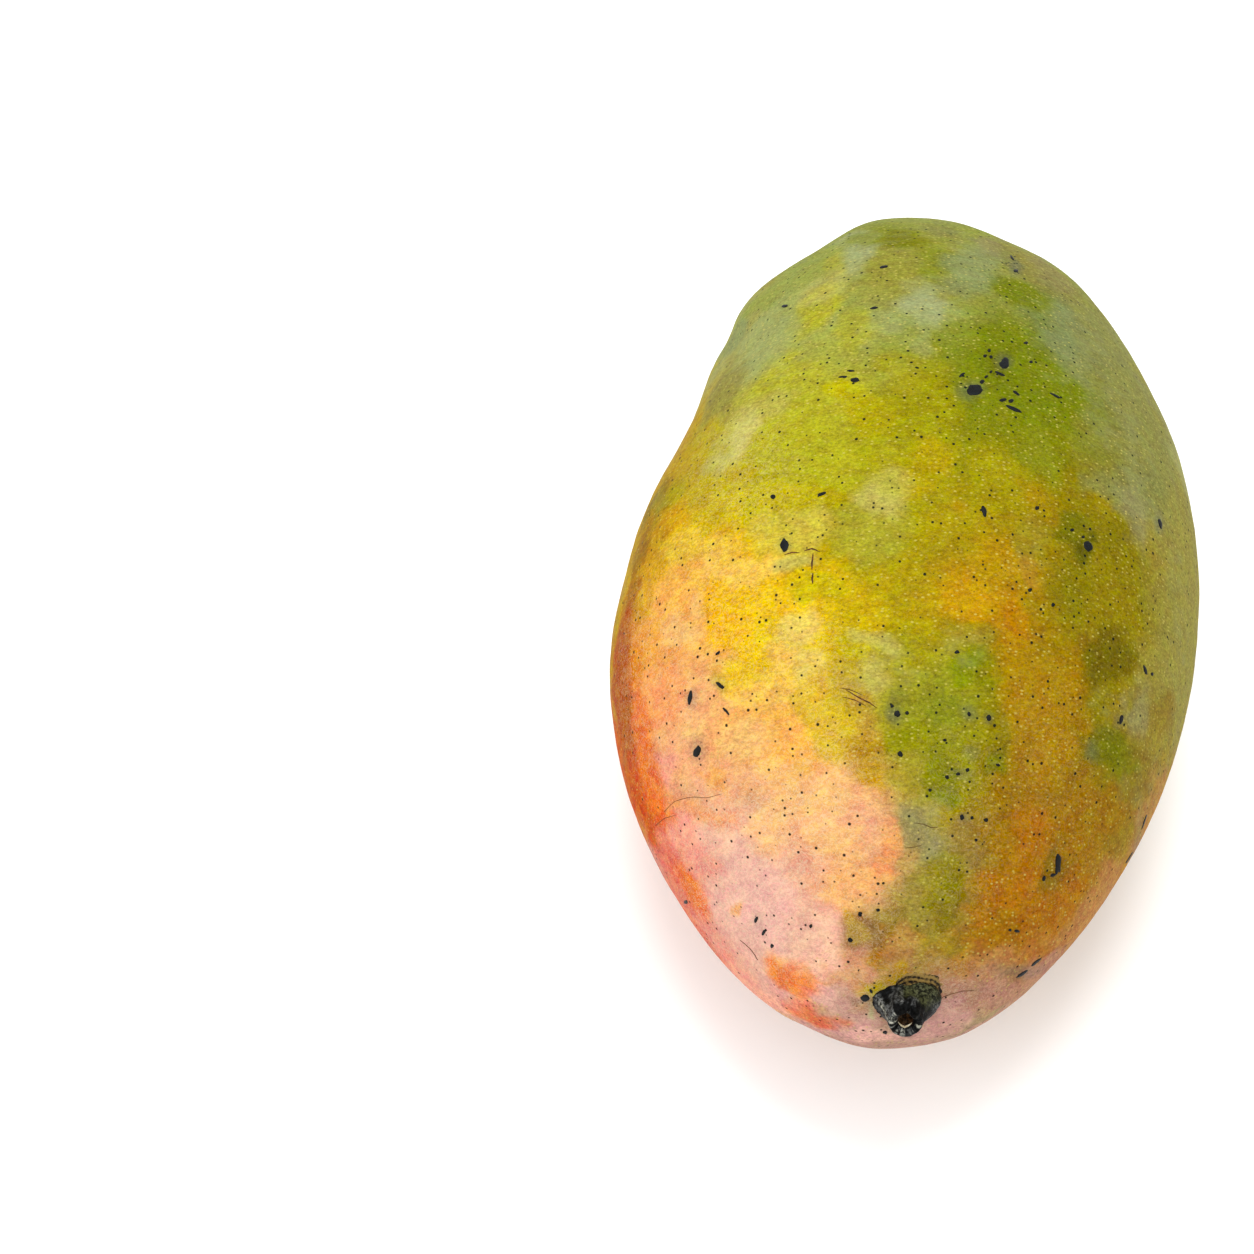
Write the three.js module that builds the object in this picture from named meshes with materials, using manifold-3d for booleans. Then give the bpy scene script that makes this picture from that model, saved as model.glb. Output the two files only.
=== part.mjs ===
// A whole ripe mango with the dry stub of its stalk, lying on its broad side.
// Millimetres, +Z up. The long axis runs along Y: the stem end is at -Y, the apex at +Y.
// X is the fruit's width, with the beak and the hollow beside it on the -X side, near the apex.
// The origin is the middle of the bounding box, on the surface that the fruit rests on.
import * as THREE from "three";
import { mergeVertices } from "three/addons/utils/BufferGeometryUtils.js";
import Module from "manifold-3d";

const wasm = await Module();
wasm.setup();

// The fruit's length from the stem pole to the apex pole.
const FRUIT_LENGTH = 129.5;

// Half-widths and half-thicknesses at even stations from the stem pole to the apex pole.
const RIGHT = [43.5, 43.5, 43, 43, 43.5, 44, 44];
const LEFT = [38.5, 38.5, 43, 42, 34, 26, 26];
const TOP = [37, 38, 39.5, 39.5, 37.5, 34, 32.5];
const BELLY = [36, 37.5, 39.5, 39, 36.5, 33, 31];

// How much fuller each cross-section is than an ellipse, between its axes.
const FULLNESS = 0.01;

// The stem end sits high and leans back; the apex is a little to the right.
const STEM_OFFSET_X = -1;
const STEM_OFFSET_Z = 13;
const STEM_SLOPE_X = 0.2;
const STEM_SLOPE_Z = 0.5;
const APEX_OFFSET_X = 1;

// The beak, a swell of the left side near the apex, which leaves a hollow between it and the middle.
// Its place and reach are in degrees from the stem pole, and its reach around is in degrees too.
const BEAK_PLACE = 136;
const BEAK_REACH = 13.5;
const BEAK_REACH_AROUND = 34;
const BEAK_HEIGHT = 6;
const BEAK_OUTWARD = 0.9;
const BEAK_LENGTHWAYS = 0.4;
const BEAK_FADE = 0.3;

// The shallow dimple that the stalk stands in, with its reach in degrees from the stem pole.
const DIMPLE_DEPTH = 1.2;
const DIMPLE_REACH = 8;

// The small flat spot that the ripe fruit rests on is this far above the lowest point of the full shape.
const FLAT_DEPTH = 1.2;

// Facets.
const FRUIT_RINGS = 50;
const FRUIT_SIDES = 66;
const STUB_SIDES = 30;

// The stalk's stub: radius and height above the skin, from its root in the flesh to the pit in its end.
const STUB_ROOT_DEPTH = 2;
const STUB_PROFILE = [
  [0, -STUB_ROOT_DEPTH],
  [3.6, -STUB_ROOT_DEPTH],
  [4.7, -0.4],
  [4.9, 0.3],
  [4.3, 1.4],
  [3.5, 2.8],
  [3.0, 4.2],
  [2.9, 5.2],
  [2.6, 6.0],
  [1.9, 6.3],
  [1.3, 6.0],
  [0.9, 5.3],
  [0, 5.1],
];
const STUB_LEAN = new THREE.Vector3(-0.19, -1, 0.33).normalize();
// The flutes pinch the stub between its ribs by this share of its radius, from low on the flare upwards.
const FLUTES = 7;
const FLUTE_SHARE = 0.12;
const FLUTES_BEGIN = 0.6;
const FLUTES_FULL = 2.6;
const SOCKET_GAP = 0.3;

// A smooth curve through the station values, as a sum of cosines, so it is level at both poles.
function stationCurve(values) {
  const last = values.length - 1;
  const share = (i) => (i === 0 || i === last ? 0.5 : 1);
  const waves = values.map((_, k) =>
    values.reduce((sum, value, j) => sum + share(j) * value * Math.cos((Math.PI * j * k) / last), 0),
  );
  return (polar) =>
    waves.reduce((sum, wave, k) => sum + (2 / last) * share(k) * wave * Math.cos(k * polar), 0);
}

const rightAt = stationCurve(RIGHT);
const leftAt = stationCurve(LEFT);
const topAt = stationCurve(TOP);
const bellyAt = stationCurve(BELLY);

// How far the beak lifts the skin, with nothing left of it at the poles themselves.
// The left side is half a turn from where the angle around starts.
function beakAt(polar, around) {
  const turn = THREE.MathUtils.euclideanModulo(THREE.MathUtils.radToDeg(around), 360);
  const fromPlace = (THREE.MathUtils.radToDeg(polar) - BEAK_PLACE) / BEAK_REACH;
  const fromLeft = (turn - 180) / BEAK_REACH_AROUND;
  const fade = THREE.MathUtils.smoothstep(Math.sin(polar), 0, BEAK_FADE);
  return fade * BEAK_HEIGHT * Math.exp(-(fromPlace ** 2) - fromLeft ** 2);
}

// The skin at a polar angle from the stem pole and an angle around the long axis, counted from +X towards +Z.
function skinPoint(polar, around) {
  const out = Math.sin(polar);
  const along = -Math.cos(polar);
  const across = Math.cos(around);
  const up = Math.sin(around);
  const nearStem = ((1 - along) / 2) ** 2;
  const nearApex = ((1 + along) / 2) ** 2;
  const halfWidth = THREE.MathUtils.lerp(leftAt(polar), rightAt(polar), (1 + across) / 2);
  const halfHeight = THREE.MathUtils.lerp(bellyAt(polar), topAt(polar), (1 + up) / 2);
  const radius = out * (1 + FULLNESS * Math.sin(2 * around) ** 2);
  const x = radius * across * halfWidth;
  const z = radius * up * halfHeight;
  const y = (FRUIT_LENGTH / 2) * along + nearStem * (STEM_SLOPE_X * x + STEM_SLOPE_Z * z);
  const beak = beakAt(polar, around);
  const dimple = DIMPLE_DEPTH * Math.exp(-((THREE.MathUtils.radToDeg(polar) / DIMPLE_REACH) ** 2));
  return new THREE.Vector3(
    x + BEAK_OUTWARD * beak * across + STEM_OFFSET_X * nearStem + APEX_OFFSET_X * nearApex,
    y + BEAK_LENGTHWAYS * beak * along + dimple,
    z + BEAK_OUTWARD * beak * up + STEM_OFFSET_Z * nearStem,
  );
}

// Moves every vertex of a geometry, given a function of its place.
function reshape(geometry, move) {
  const position = geometry.getAttribute("position");
  const vertex = new THREE.Vector3();
  for (let i = 0; i < position.count; i++) {
    vertex.fromBufferAttribute(position, i);
    const moved = move(vertex.clone());
    position.setXYZ(i, moved.x, moved.y, moved.z);
  }
  return geometry;
}

// A closed geometry as a solid, with vertices that share a place merged.
function solidOf(geometry) {
  const bare = geometry.clone();
  bare.deleteAttribute("normal");
  bare.deleteAttribute("uv");
  const merged = mergeVertices(bare, 1e-4);
  return new wasm.Manifold(
    new wasm.Mesh({
      numProp: 3,
      vertProperties: new Float32Array(merged.attributes.position.array),
      triVerts: new Uint32Array(merged.index.array),
    }),
  );
}

function geometryOf(solid) {
  const mesh = solid.getMesh();
  const geometry = new THREE.BufferGeometry();
  geometry.setAttribute("position", new THREE.BufferAttribute(new Float32Array(mesh.vertProperties), 3));
  geometry.setIndex(new THREE.BufferAttribute(new Uint32Array(mesh.triVerts), 1));
  geometry.computeVertexNormals();
  return geometry;
}

// The whole fruit, with its belly pressed flat where it rests.
function fruitGeometry() {
  const sphere = new THREE.SphereGeometry(1, FRUIT_SIDES, FRUIT_RINGS);
  reshape(sphere, (v) => skinPoint(Math.acos(THREE.MathUtils.clamp(-v.y, -1, 1)), Math.atan2(v.z, v.x)));
  sphere.computeBoundingBox();
  const rest = sphere.boundingBox.min.z + FLAT_DEPTH;
  return reshape(sphere, (v) => v.setZ(Math.max(v.z, rest)));
}

// The stub, or the socket that it stands in when a gap is given, about +Y, with its root below zero.
function stubGeometry(gap) {
  const outline = STUB_PROFILE.map(([radius, height], i) => {
    const onAxis = i === 0 || i === STUB_PROFILE.length - 1;
    return new THREE.Vector2(onAxis ? 0 : radius + gap, height + (height < 0 ? -gap : gap));
  });
  const lathe = new THREE.LatheGeometry(outline, STUB_SIDES);
  return reshape(lathe, (v) => {
    const around = Math.atan2(v.z, v.x);
    const grown = THREE.MathUtils.smoothstep(v.y, FLUTES_BEGIN, FLUTES_FULL);
    const scale = 1 - (FLUTE_SHARE * grown * (1 - Math.cos(FLUTES * around))) / 2;
    return new THREE.Vector3(v.x * scale, v.y, v.z * scale);
  });
}

function placeStub(geometry, foot) {
  const turn = new THREE.Quaternion().setFromUnitVectors(new THREE.Vector3(0, 1, 0), STUB_LEAN);
  return geometry.applyQuaternion(turn).translate(foot.x, foot.y, foot.z);
}

const skin = new THREE.MeshStandardMaterial({ color: 0xb5a03a, roughness: 0.45, metalness: 0 });
const dryStalk = new THREE.MeshStandardMaterial({ color: 0x34322f, roughness: 0.85, metalness: 0 });

const stemFoot = skinPoint(0, 0);
const whole = solidOf(fruitGeometry());
const socket = solidOf(placeStub(stubGeometry(SOCKET_GAP), stemFoot));

const fruit = new THREE.Mesh(geometryOf(whole.subtract(socket)), skin);
fruit.name = "fruit";

const stemStub = new THREE.Mesh(geometryOf(solidOf(placeStub(stubGeometry(0), stemFoot))), dryStalk);
stemStub.name = "stem_stub";

const mango = new THREE.Group();
mango.name = "mango";
mango.add(fruit, stemStub);

const bounds = new THREE.Box3().setFromObject(mango);
const middle = bounds.getCenter(new THREE.Vector3());
mango.position.set(-middle.x, -middle.y, -bounds.min.z);

export default mango;
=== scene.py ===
# A whole ripe mango with the dry stub of its stalk, lying on its broad side on a pale floor.
# Lengths are in millimetres and turned into metres where a mesh is made. +Y runs from stem to apex.
import itertools
import math

import bpy
import numpy as np
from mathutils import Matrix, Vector
from mathutils.bvhtree import BVHTree


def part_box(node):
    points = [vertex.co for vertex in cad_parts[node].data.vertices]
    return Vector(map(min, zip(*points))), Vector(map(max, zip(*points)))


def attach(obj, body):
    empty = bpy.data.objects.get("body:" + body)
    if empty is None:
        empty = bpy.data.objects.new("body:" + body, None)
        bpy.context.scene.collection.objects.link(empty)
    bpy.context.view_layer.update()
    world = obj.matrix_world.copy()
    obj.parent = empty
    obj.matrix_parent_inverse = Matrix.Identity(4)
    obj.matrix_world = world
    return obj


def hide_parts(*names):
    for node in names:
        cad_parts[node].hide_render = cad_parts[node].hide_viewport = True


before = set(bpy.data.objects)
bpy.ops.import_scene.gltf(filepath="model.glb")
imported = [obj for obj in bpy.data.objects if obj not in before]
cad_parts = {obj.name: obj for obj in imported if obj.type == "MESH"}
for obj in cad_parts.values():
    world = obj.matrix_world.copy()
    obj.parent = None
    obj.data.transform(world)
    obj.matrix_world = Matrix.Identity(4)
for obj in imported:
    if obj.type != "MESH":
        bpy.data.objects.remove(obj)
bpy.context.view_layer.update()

MM = 0.001

# The camera: the photograph's frame, with the fruit's middle at this pixel of it. Clipping is in metres.
FRAME_PIXELS = 1254
FRUIT_PIXEL = (904.0, 632.5)
# The fruit's middle in the photograph is this far towards the stem from the middle of its formula.
MIDDLE_TOWARDS_STEM = 3.0
MM_PER_PIXEL = 0.147
CAMERA_DISTANCE = 700.0
CAMERA_ELEVATION = math.radians(65)
SENSOR = 36.0
CLIP_START, CLIP_END = 0.01, 50

# The fruit's form, as in its solid: length, then half-sizes at even stations from stem to apex
FRUIT_LENGTH = 129.5
RIGHT = (43.5, 43.5, 43, 43, 43.5, 44, 44)
LEFT = (38.5, 38.5, 43, 42, 34, 26, 26)
TOP = (37, 38, 39.5, 39.5, 37.5, 34, 32.5)
BELLY = (36, 37.5, 39.5, 39, 36.5, 33, 31)
FULLNESS = 0.01
STEM_OFFSET = (-1.0, 13.0)
STEM_SLOPE = (0.2, 0.5)
APEX_OFFSET_X = 1.0
BEAK_PLACE = 136.0
BEAK_REACH = 13.5
BEAK_REACH_AROUND = 34.0
BEAK_HEIGHT = 6.0
BEAK_OUTWARD = 0.9
BEAK_LENGTHWAYS = 0.4
BEAK_FADE = 0.3
DIMPLE_DEPTH = 1.2
DIMPLE_REACH = 8.0

# How finely the skin is built
RINGS = 270
SIDES = 360

# Low lumps of the skin: height, size and seed
LUMPS = ((0.2, 15.0, 51), (0.06, 4.0, 52))
# Fine wrinkles that run to the stalk: how many, how high, and where they begin and end, from its axis
WRINKLES = 23
WRINKLE_HEIGHT = 0.1
WRINKLES_BEGIN = (4.0, 5.5)
WRINKLES_END = (17.0, 6.0)
# The skin is smooth where it lies on the floor. Its relief grows between these two heights.
RELIEF_GROWS = (0.3, 4.0)
# Where the real outline swells past the plain form or falls short of it: pixel, reach in pixels, height
SWELLS = (
    (612, 665, 100, 0.45),
    (688, 440, 45, -0.65),
    (727, 337, 28, -0.8),
    (890, 218, 40, -0.35),
    (1062, 272, 50, 0.75),
    (815, 1030, 35, -0.5),
    (975, 1026, 75, 0.85),
)

# The stub of the stalk: radius and height above the skin, from its root to the pit in its end
STUB_PROFILE = (
    (0.0, -1.6),
    (4.0, -1.6),
    (5.0, -0.6),
    (5.0, 0.2),
    (4.3, 1.4),
    (3.5, 2.8),
    (2.9, 4.2),
    (2.65, 5.2),
    (2.5, 6.0),
    (2.15, 6.5),
    (1.7, 6.45),
    (1.2, 5.9),
    (0.8, 5.1),
    (0.0, 4.9),
)
STUB_FOOT_RADIUS = max(radius for radius, _ in STUB_PROFILE)
# The pixel of its foot, how it leans, how flat its upper side is, and how its end faces up
STUB_PIXEL = (906.0, 995.0)
STUB_LEAN = (-0.08, -1.0, 0.62)
STUB_FLATNESS = 0.52
END_TILT = 0.12
# How finely it is built, and its flutes: number, share of the radius, and where they begin and are full
STUB_SIDES = 160
STUB_STEPS = 5
FLUTES = 7
FLUTE_SHARE = 0.14
FLUTES_BEGIN = 0.6
FLUTES_FULL = 2.6
# How far the ribs and the knots of its bark stand out, and the waves and knots of its broken end
RIB_HEIGHT = 0.16
KNOT_HEIGHT = 0.14
END_WAVE = 0.2
END_WAVES = 5
END_KNOTS = 0.3
# The turns, in degrees, at which its painted shade on the right flank and its moss are
SHADED_FLANK_TURN = 170
MOSS_TURN = 125
# Hollows between the flutes, cut into the form and also painted dark as shade: turn in degrees, height,
# reach in degrees, reach in height, depth
STUB_HOLLOWS = (
    (90, 6.0, 13, 0.5, 0.7),
    (120, 6.0, 11, 0.6, 0.8),
    (58, 5.9, 11, 0.6, 0.7),
    (100, 4.6, 8, 0.9, 0.35),
    (150, 4.2, 10, 1.6, 0.45),
)

# The torn skin round the stub's foot: how finely it is built, how far it tucks under the stub,
# and the turn in degrees, the reach and the layers of its flap
COLLAR_SIDES = 200
COLLAR_ROWS = 15
COLLAR_TUCK = 1.3
FLAP_TURN = 118
FLAP_REACH = 1.9
FLAP_LAYERS = 3.5
# The skin below it is looked for from this far up the stub.
WELL_ABOVE = 6
# Its underside, from the rim inwards: share of the way out, and depth below the skin
COLLAR_UNDER = ((0.9, 0.5), (0.0, 0.8))

# The crescent of pith in the stub's end: how finely it is built, its height up the stub, its half-width,
# how far its middle drops, its thickness and its wave
PITH_STEPS = 24
PITH_SIDES = 8
PITH_HEIGHT = 5.95
PITH_HALF_WIDTH = 0.95
PITH_LOWEST = 1.15
PITH_THICKNESS = 0.1
PITH_WAVE = 0.12

# The sky's strength, and how much light the whole studio throws on skin that faces the horizon,
# with what facing right, facing the apex or facing up adds to it
SKY_AT_HORIZON = 0.2
SKY_OVERHEAD = 1.75
LIGHT_LEVEL = 1.36
LIGHT_FROM_RIGHT = -0.14
LIGHT_FROM_APEX = 0.11
LIGHT_FROM_ABOVE = 0.53
GLOSS = 0.002
DARKEST_PAINT = 0.002
# Which way a small piece faces on the whole, where one paint does for all of it
FACING_UP = np.array((0.0, 0.0, 0.9))
# The lamps: name, direction from the fruit, distance and width in metres, strength, colour
LAMPS = (
    ("overhead", (0.0, 0.2, 1.0), 1.3, 0.6, 0.58, (1.0, 1.0, 1.0)),
    ("side", (-0.9, -0.35, 0.7), 1.3, 0.9, 0.22, (1.0, 0.99, 0.97)),
)
FLOOR_HALF = 6000.0
FLOOR_MOTTLE = 60.0

# Colours by name, as sRGB. All but the floor's are as they look in the studio light.
PALETTE = {
    "floor": "f7f7f7", "pale_floor": "f9f9f8",
    "apex_olive": "808213", "leaf": "8d932e", "grass": "7b8513", "moss": "71721d",
    "forest": "6c7040", "misted_leaf": "9ba34e", "mist": "8e9860", "dull_mist": "818b55",
    "pale_mist": "adb47f", "sea_mist": "a4ab66", "sage": "8b8b4c", "lime": "bbb63a",
    "pale_lime": "afaa44", "cream_lime": "c8be66", "olive": "aca014", "green_olive": "908f08",
    "deep_olive": "828312", "gold_olive": "8a7d09", "dark_olive": "726501",
    "spring_green": "88910a", "lemon_lime": "c8b81a", "lemon": "d3b606", "straw": "d5bd2b",
    "mustard": "c3ac26", "dark_mustard": "aa9f29", "mossy_gold": "b39e02", "khaki": "948b45",
    "grey_khaki": "928a58", "brown_khaki": "8c7530", "tan": "bb953e", "dull_tan": "a1913a",
    "amber": "be9704", "dark_amber": "ac8315", "brown_amber": "9c6e05", "burnt": "bd8406",
    "brown_orange": "b17222", "tan_orange": "b88552", "dull_orange": "a86d29", "brown": "9a7028",
    "umber": "796007", "soft_umber": "8f7440", "gold": "d09f0f", "deep_gold": "c49307",
    "orange_gold": "ce9d27", "yellow": "f6c81a", "light_yellow": "eecd28", "pale_yellow": "fdcd69",
    "honey": "fbb860", "cream_honey": "fdc67f", "apricot": "f0a54d", "peach": "fcb586",
    "pale_pink": "fdc5ab", "rust": "b25925", "coral": "ce5a24", "pale_cream": "e7d88d",
    "warm_olive": "a39612", "lime_gold": "bca90e", "hot_orange": "fba266", "pink": "fba792",
    "pale_rose": "f4bbad", "salmon": "f38a66", "rose": "e67d6a", "scarlet": "dd5230",
    "tan_rose": "e0a07c", "dusty_pink": "cf9c93", "dusk_pink": "b08a7c", "tan_pink": "b4856f",
    "earth": "846549", "slate": "5f6b66", "vermilion": "ee7a40", "brick": "df7a55",
    "bright_orange": "e08937", "marigold": "f6bb19", "pale_gold": "eec752", "dull_gold": "deb840",
    "butter": "efd373", "pale_straw": "d7c553", "deep_moss": "5c5a0c",
    "wax": "b0bb8c", "fibre": "ffe9c4", "speck": "e6d770", "dot": "1a2423",
    "scab_black": "04070a", "scab_grey": "1c2226", "crack_and_shadow_brown": "4a2c16", "crack_and_shadow_tan": "8a5a30",
    "pith_tan": "d8c49a", "pith_cream": "fbf0d4", "torn_dark_and_shade": "1c150b", "torn_tan": "a8894a",
    "char": "07090d", "grey_wood": "666765", "mossy_wood": "474930", "wood_highlight": "c9c7b2",
    "pit_brown": "3a2612", "root_black": "0a0e13", "pit_middle": "2c1b0c",
}


# Where the colours lie

# Washes on the sides that the photograph doesn't show: colour, strength, polar angle and angle around
# in degrees, half-sizes along and across in millimetres
FAR_WASHES = (
    ("khaki", 1.0, 90, 0, 60, 40), ("leaf", 1.0, 165, 90, 50, 50), ("olive", 0.9, 120, 300, 40, 40),
    ("gold", 0.9, 70, 300, 35, 30), ("tan_rose", 1.0, 75, 228, 46, 26),
    ("rose", 0.6, 60, 212, 24, 14), ("dusty_pink", 0.9, 35, 270, 22, 30),
    ("apricot", 0.6, 80, 262, 22, 18), ("coral", 0.6, 108, 206, 22, 12),
    ("straw", 0.6, 110, 250, 18, 16), ("mist", 0.8, 150, 330, 22, 20),
    ("mist", 0.7, 158, 200, 18, 20), ("apex_olive", 0.7, 140, 20, 24, 18),
    ("lime", 0.7, 140, 285, 22, 24), ("brown_orange", 0.8, 55, 330, 26, 18),
    ("tan_orange", 0.8, 35, 330, 18, 18), ("forest", 0.5, 95, 330, 22, 12),
    ("dusk_pink", 0.7, 22, 300, 14, 20),
)

# Washes that run over the outline seen in the photograph, laid after the patches, in the same terms. They
# give the left rim its own red-brown blush, darkened with painted shade and reddened with a painted
# reflection of a fruit lying beside it.
RIM_BLUSH_SHADE_AND_REFLECTION = (
    ("brown", 0.9, 104, 181, 16, 6), ("rust", 0.95, 88, 183, 17, 7),
    ("coral", 0.85, 72, 184, 13, 7), ("rose", 0.5, 52, 196, 14, 6),
)

# Washes seen in the photograph: colour, strength, pixel, half-sizes in pixels, and turn in degrees if any
WASHES = (
    ("misted_leaf", 1.0, 950, 300, 200, 120), ("dull_tan", 0.5, 925, 270, 80, 50),
    ("sage", 0.9, 1110, 380, 60, 160, -25), ("sea_mist", 0.7, 760, 340, 90, 70, -40),
    ("lime", 0.9, 810, 440, 130, 90, -10), ("grass", 0.8, 1010, 390, 100, 90, 10),
    ("dark_mustard", 0.8, 900, 520, 150, 70), ("dark_amber", 0.9, 1050, 660, 80, 170),
    ("gold_olive", 0.8, 1110, 600, 60, 130), ("khaki", 0.8, 1180, 600, 26, 240, 4),
    ("yellow", 0.9, 760, 620, 100, 80), ("honey", 0.8, 670, 620, 60, 110),
    ("peach", 0.8, 680, 740, 90, 90, 20), ("honey", 0.9, 810, 750, 90, 70),
    ("pale_rose", 0.9, 735, 885, 95, 85, 40), ("peach", 0.9, 840, 850, 80, 80),
    ("pale_lime", 0.7, 900, 680, 80, 70), ("leaf", 0.8, 950, 740, 60, 100),
    ("brown_amber", 0.9, 1050, 830, 70, 120, 20), ("dull_orange", 0.8, 1040, 930, 90, 50, -40),
    ("brown_khaki", 0.7, 1130, 790, 40, 90, 10), ("rose", 0.8, 665, 850, 26, 90, -25),
    ("dusk_pink", 0.8, 900, 1035, 100, 26), ("pale_rose", 0.7, 740, 970, 70, 60, 40),
    ("khaki", 0.8, 930, 890, 46, 70, 10),
)

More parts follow.
